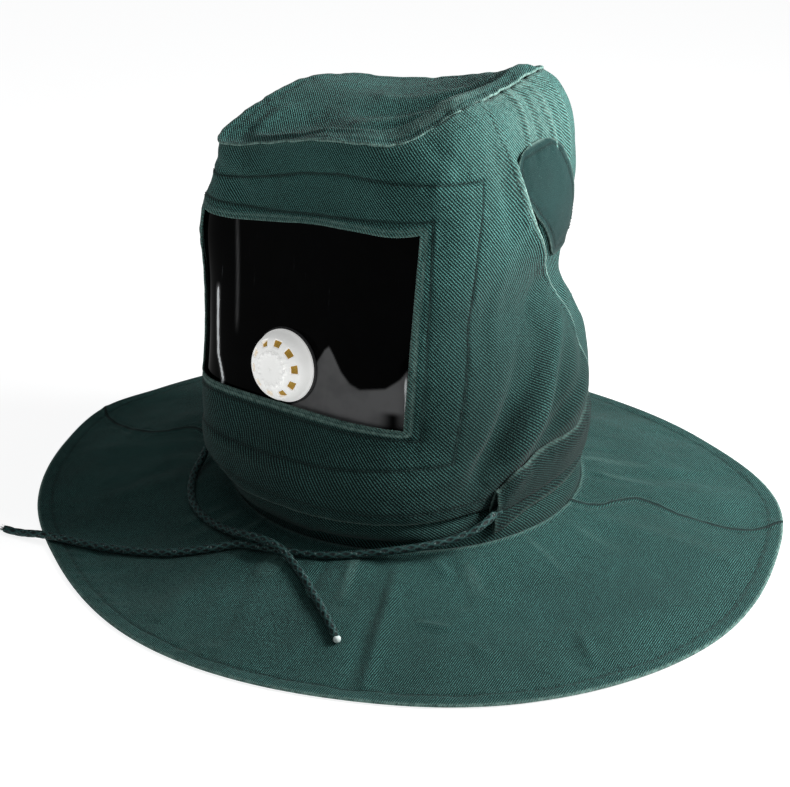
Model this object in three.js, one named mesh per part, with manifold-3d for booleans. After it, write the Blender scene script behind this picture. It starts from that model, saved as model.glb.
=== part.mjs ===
// A sandblasting hood of heavy cloth, set down on its round shoulder cape.
// Millimetres, +Z up, the window facing -Y. The origin is on the rest plane under the
// middle of the cape. Angles are degrees from the front, growing towards +X.
import * as THREE from "three";
import { mergeVertices } from "three/addons/utils/BufferGeometryUtils.js";
import Module from "manifold-3d";

// Driving dimensions
const hoodWidth = 280; // side to side, low on the hood
const hoodDepth = 320; // front to back, low on the hood
const hoodHeight = 360; // rest plane to the crown seam
const driftAside = -8; // the head part stands this far off the middle of the cape,
const driftAhead = -6; // sideways and to the front
const clothWall = 1.6;
const clearance = 0.3;
const lapEase = 1; // room between two cloths that lie on each other
const frontHem = 60; // height of the front panel's lower edge
const seamLap = 12; // width of a lapped seam

const capeReach = 325; // middle of the neck to the rim
const neckRadius = 152;
const neckRise = 32; // height of the cape's neck seam
const neckBlend = 6; // the wall is round up to this far above the neck seam
const neckRoll = 3.5; // how far the neck strip rolls out in front
const neckEase = 0.7; // room between the neck and the cape's inner edge
const capeSlope = 1.25; // more than 1 makes the cape steeper by the neck
const hemWidth = 14;
const hemWall = 3.2;

const windowSill = 134;
const windowHeight = 156;
const windowLeft = -44.5;
const windowRight = 41.5;
const windowLean = 5.6; // how many degrees wider the window's right side is at the top
const cornerSpan = 20; // the fold at the window's left side fades out over this angle
const visorWall = 1;
const visorMargin = 12; // the part of the visor tucked behind the cloth

const crownWall = 1.8;
const crownEase = 2.2; // room between the crown panel and the walls' top edge
const crownLip = 3; // seam allowance that stands out past the walls
const crownSag = 9;
const crownFlat = 0.857; // the crown lies level from this share of its half width outwards
const crownSlope = 1.7; // more than 1 makes the crown flatter in the middle

const earSill = 228;
const earFlapHeight = 97;
const earFlapWidth = 84;
const earFlapWall = 1.5;
const earFlapEase = 0.8; // room between an ear flap and the wall under it
const earSlotWidth = 13;
const earSlotHeight = 72;
const earSlotInset = 7; // the slot starts this far above the flap's lower edge
const earPucker = 6; // how far the front panel's free edge stands off
const puckerWidth = 40;
const puckerReach = 0.62; // share of the flap's height to each side of its middle

const bandHeight = 38;
const bandLevel = 47; // height of its lower edge round the sides and back
const bandDip = 13; // how far its front ends hang lower
const bandDipTurn = 14; // the angle over which they do
const bandWall = 1.3;
const bandMouthRight = 67;
const bandMouthLeft = -70;
const cordDiameter = 6.5;
const cordEase = 1.3;
const cordSides = 8;

const valveDiameter = 60;
const valveDepth = 20;
const valveBoss = 14.4; // radius of the raised middle
const valveAngle = -11;
const valveHeight = 165;
const valveWall = 2;
const valveSides = 18;
const valveVents = 10;
const valveVentWidth = 7.5;
const valveNotches = 8;
const valveNotchWidth = 3.9;
const valveSealWall = 1.6;
const valveNeckRadius = 14;
const valveNutWall = 3;

// Horizontal sections of the hood, from the neck up. Heights are shares of the hood's
// height, left and right of its width, front and back of its depth, and drift of the
// two drifts. Square is the roundness of the plan: 2 is an ellipse, more is squarer.
// Corner is added to it at the window's left corner, which is folded sharp.
const sections = [
  { height: 0.15, left: 0.5, right: 0.5, front: 0.485, back: 0.51, drift: 0.6, square: 2.2, corner: 0 },
  { height: 0.2, left: 0.51, right: 0.51, front: 0.485, back: 0.52, drift: 1, square: 2.4, corner: 0.3 },
  { height: 0.28, left: 0.51, right: 0.52, front: 0.44, back: 0.52, drift: 1, square: 2.5, corner: 0.8 },
  { height: 0.36, left: 0.5, right: 0.505, front: 0.39, back: 0.5, drift: 1, square: 2.7, corner: 2 },
  { height: 0.46, left: 0.475, right: 0.47, front: 0.37, back: 0.46, drift: 1, square: 2.9, corner: 3 },
  { height: 0.57, left: 0.465, right: 0.422, front: 0.355, back: 0.395, drift: 1, square: 3, corner: 4 },
  { height: 0.69, left: 0.467, right: 0.45, front: 0.343, back: 0.41, drift: 1, square: 3.1, corner: 4 },
  { height: 0.8, left: 0.455, right: 0.46, front: 0.335, back: 0.43, drift: 1, square: 3.2, corner: 4 },
  { height: 0.9, left: 0.42, right: 0.445, front: 0.33, back: 0.415, drift: 1, square: 3.2, corner: 5 },
  { height: 0.97, left: 0.395, right: 0.4, front: 0.328, back: 0.385, drift: 1, square: 3.1, corner: 6 },
  { height: 1, left: 0.385, right: 0.335, front: 0.325, back: 0.36, drift: 1, square: 3, corner: 6 },
];

// Height of the crown seam round the hood, as shares of the hood's height.
const crownSeam = [
  { angle: -150, rise: 0.958 },
  { angle: -120, rise: 0.986 },
  { angle: -95, rise: 1.019 },
  { angle: -72, rise: 1.014 },
  { angle: -57, rise: 0.976 },
  { angle: -45, rise: 0.937 },
  { angle: -25, rise: 0.957 },
  { angle: 0, rise: 0.99 },
  { angle: 22, rise: 1.0 },
  { angle: 36, rise: 1.002 },
  { angle: 50, rise: 1.03 },
  { angle: 64, rise: 1.058 },
  { angle: 90, rise: 1.07 },
  { angle: 115, rise: 1.08 },
  { angle: 140, rise: 1.06 },
  { angle: 170, rise: 1.006 },
];

// Rim of the cape round the neck, as shares of its reach.
const capeRim = [
  { angle: -150, reach: 0.905 },
  { angle: -122, reach: 0.975 },
  { angle: -96, reach: 1.025 },
  { angle: -86, reach: 1.062 },
  { angle: -72, reach: 1.037 },
  { angle: -52, reach: 1.003 },
  { angle: -32, reach: 0.966 },
  { angle: -5, reach: 0.975 },
  { angle: 25, reach: 0.98 },
  { angle: 50, reach: 1.015 },
  { angle: 80, reach: 1.031 },
  { angle: 104, reach: 1.006 },
  { angle: 124, reach: 1.004 },
  { angle: 148, reach: 0.92 },
  { angle: 177, reach: 0.868 },
];

// Shoulder seams of the cape, from the neck to the rim: share of the way out and angle.
const shoulderRight = [
  { out: 0, angle: 97 },
  { out: 0.3, angle: 107 },
  { out: 0.65, angle: 112 },
  { out: 1, angle: 117 },
];
const shoulderLeft = [
  { out: 0, angle: -65 },
  { out: 0.35, angle: -75 },
  { out: 0.7, angle: -82 },
  { out: 1, angle: -87 },
];

// Rear edge of the front panel: height as a share of the hood's height, and angle.
const panelEdge = [
  { height: 0.15, angle: 122 },
  { height: 0.5, angle: 121 },
  { height: 0.58, angle: 114 },
  { height: 0.66, angle: 102 },
  { height: 0.78, angle: 87 },
  { height: 0.88, angle: 79 },
  { height: 1, angle: 75 },
];

// The ear flap's outline: height as a share of its height, and how far its front and
// rear edges lie behind the front panel's edge, as shares of its width.
const earOutline = [
  { height: 0, front: 0.07, rear: 0.8 },
  { height: 0.3, front: 0.03, rear: 0.93 },
  { height: 0.6, front: -0.06, rear: 1 },
  { height: 0.82, front: 0, rear: 0.95 },
  { height: 0.94, front: 0.18, rear: 0.78 },
  { height: 1, front: 0.3, rear: 0.6 },
];

// Folds of the walls: the middle's angle and height, the way it runs (degrees up from
// level), its half length, half width and lift. Lengths are shares of the hood's height.
const folds = [
  { angle: 84, height: 0.34, runs: 52, long: 0.19, wide: 0.035, lift: 0.024 },
  { angle: 72, height: 0.35, runs: 54, long: 0.17, wide: 0.03, lift: -0.022 },
  { angle: 108, height: 0.33, runs: 80, long: 0.12, wide: 0.06, lift: 0.02 },
  { angle: 98, height: 0.53, runs: 70, long: 0.09, wide: 0.05, lift: -0.012 },
  { angle: -62, height: 0.62, runs: 85, long: 0.14, wide: 0.045, lift: 0.026 },
  { angle: -95, height: 0.45, runs: -60, long: 0.16, wide: 0.05, lift: -0.02 },
  { angle: 175, height: 0.55, runs: 75, long: 0.2, wide: 0.06, lift: -0.02 },
  { angle: 140, height: 0.42, runs: -65, long: 0.17, wide: 0.05, lift: 0.018 },
  { angle: -140, height: 0.5, runs: 60, long: 0.18, wide: 0.05, lift: 0.018 },
];

// Waves of the cape: angle, share of the way out, half spans of both and lift as a
// share of the neck seam's height.
const capeWaves = [
  { angle: 20, out: 0.55, turn: 14, span: 0.3, lift: 0.1 },
  { angle: 62, out: 0.5, turn: 12, span: 0.35, lift: -0.09 },
  { angle: 96, out: 0.55, turn: 12, span: 0.35, lift: 0.12 },
  { angle: -40, out: 0.5, turn: 14, span: 0.3, lift: -0.1 },
  { angle: -80, out: 0.55, turn: 10, span: 0.35, lift: 0.12 },
  { angle: 150, out: 0.5, turn: 16, span: 0.35, lift: 0.1 },
  { angle: -130, out: 0.5, turn: 16, span: 0.35, lift: -0.08 },
];

// The valve's cap from its middle out, inside first, and its filter from the neck in:
// radius as a share of the valve's, and distance from its base as a share of its depth.
const capProfile = [
  { radius: 0, depth: 0.9 },
  { radius: 0.4, depth: 0.78 },
  { radius: 0.66, depth: 0.64 },
  { radius: 0.82, depth: 0.4 },
  { radius: 0.88, depth: 0.075 },
  { radius: 0.88, depth: 0 },
  { radius: 1, depth: 0 },
  { radius: 1, depth: 0.125 },
  { radius: 0.95, depth: 0.25 },
  { radius: 0.88, depth: 0.52 },
  { radius: 0.75, depth: 0.73 },
  { radius: 0.57, depth: 0.86 },
  { radius: 0.48, depth: 0.88 },
  { radius: 0.48, depth: 1 },
  { radius: 0, depth: 1 },
];
const filterProfile = [
  { radius: 0.82, depth: 0.05 },
  { radius: 0.76, depth: 0.38 },
  { radius: 0.6, depth: 0.59 },
  { radius: 0.38, depth: 0.71 },
  { radius: 0, depth: 0.78 },
];

// Free ends of the drawcord: the cord's middle, from each mouth of the neck band on.
const cordRight = [
  [138.3, -64.1, 58.9],
  [137.3, -71, 58.2],
  [137.4, -80, 56.6],
  [135.5, -89, 53.8],
  [129, -99, 49.2],
  [118.5, -111, 45.2],
  [106.5, -122.5, 42.4],
  [93, -133, 39.5],
  [79, -142, 36.6],
  [64, -150.5, 33.6],
  [50, -160, 32.3],
  [36, -168, 31.2],
  [18, -175, 30.2],
  [-2, -180, 29.3],
  [-19, -183, 28.3],
  [-34, -187.5, 26.8],
  [-50, -199, 23.6],
  [-71, -213, 19.2],
  [-86, -220.5, 16.5],
  [-106, -227, 13.5],
  [-131, -233, 10.6],
  [-158, -238.5, 8.4],
  [-180, -241.5, 7.2],
  [-198, -246, 7],
  [-208, -248, 6.2],
  [-217, -250, 4.6],
  [-228, -253, 3.8],
  [-239.7, -255, 3.7],
];
const cordLeft = [
  [-151.1, -55.9, 54.8],
  [-150, -63, 54],
  [-151, -71, 51],
  [-154, -79.5, 45],
  [-155.5, -88, 38],
  [-153, -98, 32.6],
  [-145, -118, 28.2],
  [-131.5, -137, 26.3],
  [-114.3, -154, 25.6],
  [-96, -165.5, 26],
  [-77, -173, 26.8],
  [-59, -177.5, 28.6],
  [-46, -180.5, 31.4],
  [-33, -182.5, 34.4],
  [-20, -183.8, 36.5],
  [-8, -183.8, 37],
  [3, -183.4, 35.8],
  [12, -184, 32.2],
  [21, -186.5, 28.8],
  [39.5, -196, 25.9],
  [62, -210, 23.4],
  [84, -224, 20.1],
  [102, -236, 16.2],
  [108.5, -240.5, 14.8],
];

const rad = Math.PI / 180;
const halfTurn = 180;
const fullTurn = 360;
const lowerLayer = 0;
const upperLayer = lapEase + clothWall;

// Number helpers
const mix = (a, b, t) => a + (b - a) * t;

// Rises from 0 to 1 between two values, in either order.
function smooth(from, to, x) {
  const t = Math.min(Math.max((x - from) / (to - from), 0), 1);
  return t * t * (3 - 2 * t);
}

function steps(from, to, count) {
  return Array.from({ length: count + 1 }, (_, i) => mix(from, to, i / count));
}

// A smooth curve through a table's rows, flat past its ends.
function curve(rows, key, column, x) {
  const last = rows.length - 1;
  if (x <= rows[0][key]) return rows[0][column];
  if (x >= rows[last][key]) return rows[last][column];
  let i = 0;
  while (rows[i + 1][key] < x) i += 1;
  const slope = (j) => {
    const before = rows[Math.max(j - 1, 0)];
    const after = rows[Math.min(j + 1, last)];
    return (after[column] - before[column]) / (after[key] - before[key]);
  };
  const step = rows[i + 1][key] - rows[i][key];
  const t = (x - rows[i][key]) / step;
  const start = rows[i][column] * (1 + 2 * t) * (1 - t) ** 2;
  const end = rows[i + 1][column] * t * t * (3 - 2 * t);
  const bend = slope(i) * step * t * (1 - t) ** 2 + slope(i + 1) * step * t * t * (t - 1);
  return start + end + bend;
}

// The same for a table that goes once round the hood.
function around(rows, column, angle) {
  const first = rows[0];
  const second = rows[1];
  const last = rows[rows.length - 1];
  const ring = [
    { ...last, angle: last.angle - fullTurn },
    ...rows,
    { ...first, angle: first.angle + fullTurn },
    { ...second, angle: second.angle + fullTurn },
  ];
  let turned = angle;
  while (turned < first.angle) turned += fullTurn;
  while (turned >= first.angle + fullTurn) turned -= fullTurn;
  return curve(ring, "angle", column, turned);
}

// Shortest way from one angle to another.
function turnBetween(from, to) {
  let turn = (to - from) % fullTurn;
  if (turn > halfTurn) turn -= fullTurn;
  if (turn < -halfTurn) turn += fullTurn;
  return turn;
}

// Degrees that a length takes up along the hood's side.
const turnOf = (length) => length / (hoodWidth / 2) / rad;

// Height of a point of the wall: level near the neck, following the seam at the crown.
function wallHeight(angle, share) {
  const seam = hoodHeight * around(crownSeam, "rise", angle);
  return hoodHeight * share + (seam - hoodHeight) * share * share;
}

// The share of the wall's height at which it reaches a height.
function shareAt(angle, height) {
  const lift = hoodHeight * around(crownSeam, "rise", angle) - hoodHeight;
  if (Math.abs(lift) < clearance) return height / hoodHeight;
  const root = Math.sqrt(hoodHeight * hoodHeight + 4 * lift * height);
  return (root - hoodHeight) / (2 * lift);
}

// How far the folds push the wall out.
function foldLift(angle, share) {
  const height = hoodHeight * share;
  let lift = 0;
  for (const fold of folds) {
    const across = turnBetween(fold.angle, angle) * rad * (hoodWidth / 2);
    const up = height - fold.height * hoodHeight;
    const along = across * Math.cos(fold.runs * rad) + up * Math.sin(fold.runs * rad);
    const aside = up * Math.cos(fold.runs * rad) - across * Math.sin(fold.runs * rad);
    const spread = (along / (fold.long * hoodHeight)) ** 2 + (aside / (fold.wide * hoodHeight)) ** 2;
    lift += fold.lift * hoodHeight * Math.exp(-spread);
  }
  const fadeFrom = bandLevel + bandHeight / 4;
  const neckFade = smooth(fadeFrom, fadeFrom + bandHeight, height);
  const crownFade = 1 - smooth(0.9, 1, share);
  return lift * neckFade * crownFade;
}

// A point of the hood's wall: a rounded section that turns into the neck's circle.
function wallLine(angle, share) {
  const s = Math.sin(angle * rad);
  const c = Math.cos(angle * rad);
  const at = (column) => curve(sections, "height", column, share);
  const half = hoodWidth * at(s > 0 ? "right" : "left");
  const depth = hoodDepth * at(c > 0 ? "front" : "back");
  const cornerTurn = turnBetween(windowLeft, angle) / cornerSpan;
  const square = at("square") + at("corner") * Math.exp(-cornerTurn * cornerTurn);
  const radius = ((Math.abs(s) / half) ** square + (Math.abs(c) / depth) ** square) ** (-1 / square);
  const pushed = radius + foldLift(angle, share);
  const z = wallHeight(angle, share);
  const rise = smooth(neckRise + neckBlend, frontHem, z);
  const x = mix(neckRadius * s, pushed * s + driftAside * at("drift"), rise);
  const y = mix(-neckRadius * c, -pushed * c + driftAhead * at("drift"), rise);
  return new THREE.Vector3(x, y, z);
}

// The wall moved outwards along its own normal.
function wallPoint(angle, share, outwards) {
  const turn = 0.5;
  const lift = 0.004;
  const across = wallLine(angle + turn, share).sub(wallLine(angle - turn, share));
  const up = wallLine(angle, share + lift).sub(wallLine(angle, share - lift));
  const normal = across.cross(up).normalize();
  return wallLine(angle, share).addScaledVector(normal, outwards);
}

// Rim, height and thickness of the cape
const rimRadius = (angle) => capeReach * around(capeRim, "reach", angle);

const capeInner = neckRadius + neckEase;
const hemStart = 1 - hemWidth / (capeReach - capeInner); // share of the way out

function capePoint(angle, out, under) {
  const radius = mix(capeInner, rimRadius(angle), out);
  let height = hemWall;
  if (out < hemStart) {
    const share = 1 - out / hemStart;
    let wave = 0;
    for (const fold of capeWaves) {
      const spread = (turnBetween(fold.angle, angle) / fold.turn) ** 2 + ((out - fold.out) / fold.span) ** 2;
      wave += fold.lift * neckRise * Math.exp(-spread);
    }
    height += (neckRise - hemWall) * share ** capeSlope + wave * 4 * share * (1 - share);
  }
  const thickness = out >= hemStart ? hemWall : Math.min(clothWall, height);
  const z = under ? height - thickness : height;
  return new THREE.Vector3(radius * Math.sin(angle * rad), -radius * Math.cos(angle * rad), z);
}

// Solids from grids of points
function closedGeometry(points, triangles) {
  const positions = new Float32Array(points.flatMap((point) => [point.x, point.y, point.z]));
  const geometry = new THREE.BufferGeometry();
  geometry.setAttribute("position", new THREE.BufferAttribute(positions, 3));
  geometry.setIndex(triangles);
  geometry.computeVertexNormals();
  return geometry;
}

// A wall between two grids of points. Cells for which keep says no are left open, with
// the wall's thickness closed round them.
function shellSolid(columns, rows, outer, inner, keep = () => true) {
  const width = columns.length;
  const count = width * rows.length;
  const points = [];
  for (const face of [outer, inner]) {
    for (const row of rows) {
      for (const column of columns) points.push(face(column, row));
    }
  }
  const kept = (i, j) => i >= 0 && j >= 0 && i < width - 1 && j < rows.length - 1 && keep(i, j);
  const triangles = [];
  const quad = (a, b, c, d) => triangles.push(a, b, c, a, c, d);
  for (let j = 0; j < rows.length - 1; j += 1) {
    for (let i = 0; i < width - 1; i += 1) {
      if (!kept(i, j)) continue;
      const a = j * width + i;
      const b = a + 1;
      const c = b + width;
      const d = a + width;
      quad(a, b, c, d);
      quad(d + count, c + count, b + count, a + count);
      if (!kept(i, j - 1)) quad(b, a, a + count, b + count);
      if (!kept(i, j + 1)) quad(d, c, c + count, d + count);
      if (!kept(i - 1, j)) quad(a, d, d + count, a + count);
      if (!kept(i + 1, j)) quad(c, b, b + count, c + count);
    }
  }
  const used = [...new Set(triangles)];
  const place = new Map(used.map((index, order) => [index, order]));
  return closedGeometry(used.map((index) => points[index]), triangles.map((index) => place.get(index)));
}

// A hollow sleeve carried through stations, open at both ends. Each station gives the
// loop of its outside and of its hollow.
function sleeveSolid(stations, outerLoop, innerLoop) {
  const points = [];
  const triangles = [];
  const quad = (a, b, c, d) => triangles.push(a, c, b, a, d, c);
  const size = outerLoop(stations[0]).length;
  for (const station of stations) points.push(...outerLoop(station), ...innerLoop(station));
  const block = size * 2;
  for (let k = 0; k < size; k += 1) {
    const next = (k + 1) % size;
    for (let i = 0; i < stations.length - 1; i += 1) {
      const here = i * block;
      const there = here + block;
      quad(here + k, here + next, there + next, there + k);
      quad(there + size + k, there + size + next, here + size + next, here + size + k);
    }
    const end = (stations.length - 1) * block;
    quad(k, size + k, size + next, next);
    quad(end + next, end + size + next, end + size + k, end + k);
  }
  return closedGeometry(points, triangles);
}

// Booleans
const wasm = await Module();
wasm.setup();

function solidFrom(geometry) {
  const bare = geometry.clone();
  bare.deleteAttribute("normal");
  bare.deleteAttribute("uv");
  const merged = mergeVertices(bare);
  const mesh = new wasm.Mesh({
    numProp: 3,
    vertProperties: new Float32Array(merged.attributes.position.array),
    triVerts: new Uint32Array(merged.index.array),
  });
  return new wasm.Manifold(mesh);
}

function geometryFrom(solid) {
  const mesh = solid.getMesh();
  const geometry = new THREE.BufferGeometry();
  geometry.setAttribute("position", new THREE.BufferAttribute(new Float32Array(mesh.vertProperties), 3));
  geometry.setIndex(Array.from(mesh.triVerts));
  geometry.computeVertexNormals();
  return geometry;
}

// Finishes
const finish = (colour, roughness, metalness = 0) =>
  new THREE.MeshStandardMaterial({ color: colour, roughness, metalness });
const cloth = () => finish(0x1f4a44, 0.9);
const whitePlastic = () => finish(0xf2f2ef, 0.4);
const ochrePlastic = () => finish(0xc79a22, 0.6);
const blackRubber = () => finish(0x131313, 0.7);
const clearSheet = () => finish(0x23282a, 0.08);
const braid = () => finish(0x17423f, 0.85);

const hood = new THREE.Group();
hood.name = "sandblasting_hood";

function add(name, geometry, material) {
  const mesh = new THREE.Mesh(geometry, material);
  mesh.name = name;
  hood.add(mesh);
  return mesh;
}

// Rear edge of the front panel at one side, and the wall share of its hem
const edgeAngle = (share) => curve(panelEdge, "height", "angle", share);
const hemShare = frontHem / hoodHeight;
const topShare = 1 - (crownWall + crownEase) / hoodHeight;
const windowLow = windowSill / hoodHeight;
const windowHigh = (windowSill + windowHeight) / hoodHeight;
const earLow = earSill / hoodHeight;
const earHigh = (earSill + earFlapHeight) / hoodHeight;

// The front panel lifts off the ear flap along its free edge.
function pucker(angle, share) {
  const inset = (edgeAngle(share) - Math.abs(angle)) / turnOf(puckerWidth);
  const middle = (earLow + earHigh) / 2;
  const reach = (earHigh - earLow) * puckerReach;
  const along = Math.max(0, 1 - ((share - middle) / reach) ** 4);
  return earPucker * along * Math.max(0, 1 - inset) ** 2;
}

// Rows of the walls' grids. Both wall panels share them, so that they lie evenly on
// each other where they are lapped.
const slotLow = earLow + earSlotInset / hoodHeight;
const slotHigh = slotLow + earSlotHeight / hoodHeight;
const marginShare = visorMargin / hoodHeight;
const lapShare = hemShare + seamLap / 2 / hoodHeight;
const wallRows = [
  hemShare,
  ...steps(lapShare, windowLow - marginShare, 3),
  windowLow,
  ...steps(windowLow, slotLow, 4).slice(1),
  ...steps(slotLow, windowHigh, 3).slice(1),
  windowHigh + marginShare,
  slotHigh,
  ...steps(slotHigh, topShare, 4).slice(1),
];
const lapTurn = turnOf(seamLap);
const tiny = 1e-6;
const between = (low, high) => (j) => wallRows[j] > low - tiny && wallRows[j] < high - tiny;

// Columns across the window, and the window's right side, which leans
const windowColumns = steps(0, 1, 12).map((across) => ({ across }));

function windowEnd(share) {
  const up = Math.min(Math.max((share - windowLow) / (windowHigh - windowLow), 0), 1);
  return windowRight + windowLean * (up - 0.5);
}
const windowAngle = (across, share) => mix(windowLeft, windowEnd(share), across);

// Front panel with the window
function frontPanel() {
  const side = 10;
  const sideShares = steps(0, 1, side - 2);
  const flank = [...sideShares.map((t) => ({ t })), { free: true }];
  const columns = [
    ...flank.map((column) => ({ ...column, side: -1 })).reverse(),
    ...windowColumns,
    ...flank.map((column) => ({ ...column, side: 1 })),
  ];
  const angleOf = (column, share) => {
    if (column.across !== undefined) return windowAngle(column.across, share);
    const start = (column.side > 0 ? windowEnd(share) : -windowLeft) + turnOf(visorMargin);
    const edge = edgeAngle(share);
    return column.side * (column.free ? edge : mix(start, edge - lapTurn, column.t));
  };
  const face = (outwards) => (column, share) => {
    const angle = angleOf(column, share);
    return wallPoint(angle, share, outwards + pucker(angle, share));
  };
  const inWindow = between(windowLow, windowHigh);
  const keep = (i, j) => i < side || i >= side + windowColumns.length - 1 || !inWindow(j);
  return shellSolid(columns, wallRows, face(upperLayer), face(lapEase), keep);
}
add("hood_front", frontPanel(), cloth());

// Back panel, lapped under the front panel, with a slot behind each ear flap
function backPanel() {
  const rows = [lapShare + clearance / hoodHeight, ...wallRows.slice(2)];
  const near = [-lapTurn, 0, turnOf(earSlotWidth)];
  const middle = 17;
  const columns = [
    ...near.map((turn) => ({ side: 1, turn })),
    ...steps(0, 1, middle).slice(1, -1).map((t) => ({ side: 0, t })),
    ...near.map((turn) => ({ side: -1, turn })).reverse(),
  ];
  const angleOf = (column, share) => {
    const edge = edgeAngle(share);
    if (column.side > 0) return edge + column.turn;
    if (column.side < 0) return fullTurn - edge - column.turn;
    const start = edge + near[2];
    return mix(start, fullTurn - start, column.t);
  };
  const face = (outwards) => (column, share) => wallPoint(angleOf(column, share), share, outwards);
  const lastColumn = columns.length - 2;
  const inSlot = between(slotLow, slotHigh);
  const keep = (i, j) => !((i === 1 || i === lastColumn - 1) && inSlot(j + 1));
  return shellSolid(columns, rows, face(lowerLayer), face(lowerLayer - clothWall), keep);
}
add("hood_back", backPanel(), cloth());

// Neck strip: the short piece between the hood and the cape, sewn shut at the back and
// rolled out in front, between the mouths of the neck band
function neckStrip() {
  const bottomShare = (neckRise - seamLap / 2) / hoodHeight;
  const rows = [...steps(bottomShare, hemShare, 4), lapShare];
  const seamTurn = turnOf(clearance);
  const columns = steps(seamTurn - halfTurn, halfTurn - seamTurn, 42);
  const reach = (frontHem - neckRise) / 3;
  const middle = mix(neckRise, frontHem, 0.6);
  const roll = (angle, share) => {
    const bulge = Math.max(0, 1 - ((share * hoodHeight - middle) / reach) ** 2);
    const fromLeft = smooth(bandMouthLeft, bandMouthLeft / 2, angle);
    const fromRight = smooth(bandMouthRight, bandMouthRight / 2, angle);
    return neckRoll * bulge * fromLeft * fromRight;
  };
  const face = (outwards) => (angle, share) => wallPoint(angle, share, outwards + roll(angle, share));
  return shellSolid(columns, rows, face(lowerLayer), face(lowerLayer - clothWall));
}
add("neck_strip", neckStrip(), cloth());

// Crown panel: a sheet on the top edge of the walls with its seam allowance standing out
function crownPanel() {
  const grid = steps(-1, 1, 14);
  const place = (u, v, under) => {
    const out = Math.max(Math.abs(u), Math.abs(v));
    const angle = Math.atan2(u, v) / rad;
    const outwards = new THREE.Vector3(Math.sin(angle * rad), -Math.cos(angle * rad), 0);
    const edge = wallLine(angle, 1).addScaledVector(outwards, upperLayer + crownLip);
    const middle = new THREE.Vector3(driftAside, driftAhead, hoodHeight - crownSag);
    const point = middle.clone().lerp(edge, out);
    const slope = Math.min(1, out / crownFlat) ** crownSlope;
    point.z = mix(middle.z, edge.z, slope) - (under ? crownWall : 0);
    return point;
  };
  return shellSolid(grid, grid, (u, v) => place(u, -v, false), (u, v) => place(u, -v, true));
}
add("crown_panel", crownPanel(), cloth());

// Visor: a clear sheet behind the window, on the front panel's own grid
function visor() {
  const columns = [{ side: -1 }, ...windowColumns, { side: 1 }];
  const covered = between(windowLow - marginShare, windowHigh + 2 * marginShare);
  const rows = wallRows.filter((_, j) => covered(j));
  const angleOf = (column, share) => {
    if (column.across !== undefined) return windowAngle(column.across, share);
    const end = column.side > 0 ? windowEnd(share) : windowLeft;
    return end + column.side * turnOf(visorMargin);
  };
  const face = (outwards) => (column, share) => wallPoint(angleOf(column, share), share, outwards);
  return shellSolid(columns, rows, face(0), face(-visorWall));
}

// Ear flaps
function earFlap(side) {
  const rows = steps(0, 1, 8);
  const columns = steps(0, 1, 6);
  const face = (outwards) => (t, v) => {
    const share = mix(earLow, earHigh, v);
    const front = curve(earOutline, "height", "front", v) * earFlapWidth;
    const rear = curve(earOutline, "height", "rear", v) * earFlapWidth;
    const turn = edgeAngle(share) + turnOf(side > 0 ? mix(front, rear, t) : mix(rear, front, t));
    return wallPoint(side * turn, share, outwards);
  };
  return shellSolid(columns, rows, face(earFlapEase + earFlapWall), face(earFlapEase));
}
add("ear_flap_right", earFlap(1), cloth());
add("ear_flap_left", earFlap(-1), cloth());

// Cape, in a front and a back piece that meet at the shoulder seams
const capeRows = [...steps(0, hemStart * 0.95, 5), hemStart, 1];
const seamSlack = 1.6; // the seams slant, so their gap is measured longer round the neck

function capePiece(count, from, to) {
  const columns = steps(0, 1, count);
  const angleOf = (t, out) => {
    const radius = mix(neckRadius, capeReach, out);
    const slack = (seamSlack * clearance) / 2 / radius / rad;
    return mix(from(out) + slack, to(out) - slack, t);
  };
  return shellSolid(
    columns,
    capeRows,
    (t, out) => capePoint(angleOf(t, out), out, true),
    (t, out) => capePoint(angleOf(t, out), out, false),
  );
}
const rightSeam = (out) => curve(shoulderRight, "out", "angle", out);
const leftSeam = (out) => curve(shoulderLeft, "out", "angle", out);
add("cape_front", capePiece(24, leftSeam, rightSeam), cloth());
add("cape_back", capePiece(20, rightSeam, (out) => leftSeam(out) + fullTurn), cloth());

// Breathing valve on the visor, square to the sheet across the valve's own width
const valveShare = shareAt(valveAngle, valveHeight);
const valveRadius = valveDiameter / 2;
const sealRadius = valveRadius + valveSealWall;
const valveSeat = wallPoint(valveAngle, valveShare, 0);

function valveNormalAcross() {
  const turn = turnOf(valveRadius);
  const lift = valveRadius / hoodHeight;
  const across = wallLine(valveAngle + turn, valveShare).sub(wallLine(valveAngle - turn, valveShare));
  const up = wallLine(valveAngle, valveShare + lift).sub(wallLine(valveAngle, valveShare - lift));
  return across.cross(up).normalize();
}
const valveNormal = valveNormalAcross();

// How far the curved visor stands out or back under a disc on the valve's axis
function visorUnder(radius, pick) {
  const heights = [];
  for (const turn of steps(-turnOf(radius), turnOf(radius), 12)) {
    for (const lift of steps(-radius / hoodHeight, radius / hoodHeight, 12)) {
      const away = wallLine(valveAngle + turn, valveShare + lift).sub(valveSeat);
      const out = away.dot(valveNormal);
      if (away.addScaledVector(valveNormal, -out).length() <= radius) heights.push(out);
    }
  }
  return pick(...heights);
}
const upright = new THREE.Vector3(0, 1, 0);
const valveTurn = new THREE.Quaternion().setFromUnitVectors(upright, valveNormal);
const sealFrom = visorUnder(sealRadius, Math.max) + clearance;
const nutRadius = valveNeckRadius * 1.5;
const nutTo = visorUnder(nutRadius, Math.min) - visorWall - clearance;
const valveBase = sealFrom + valveSealWall + clearance;

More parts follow.
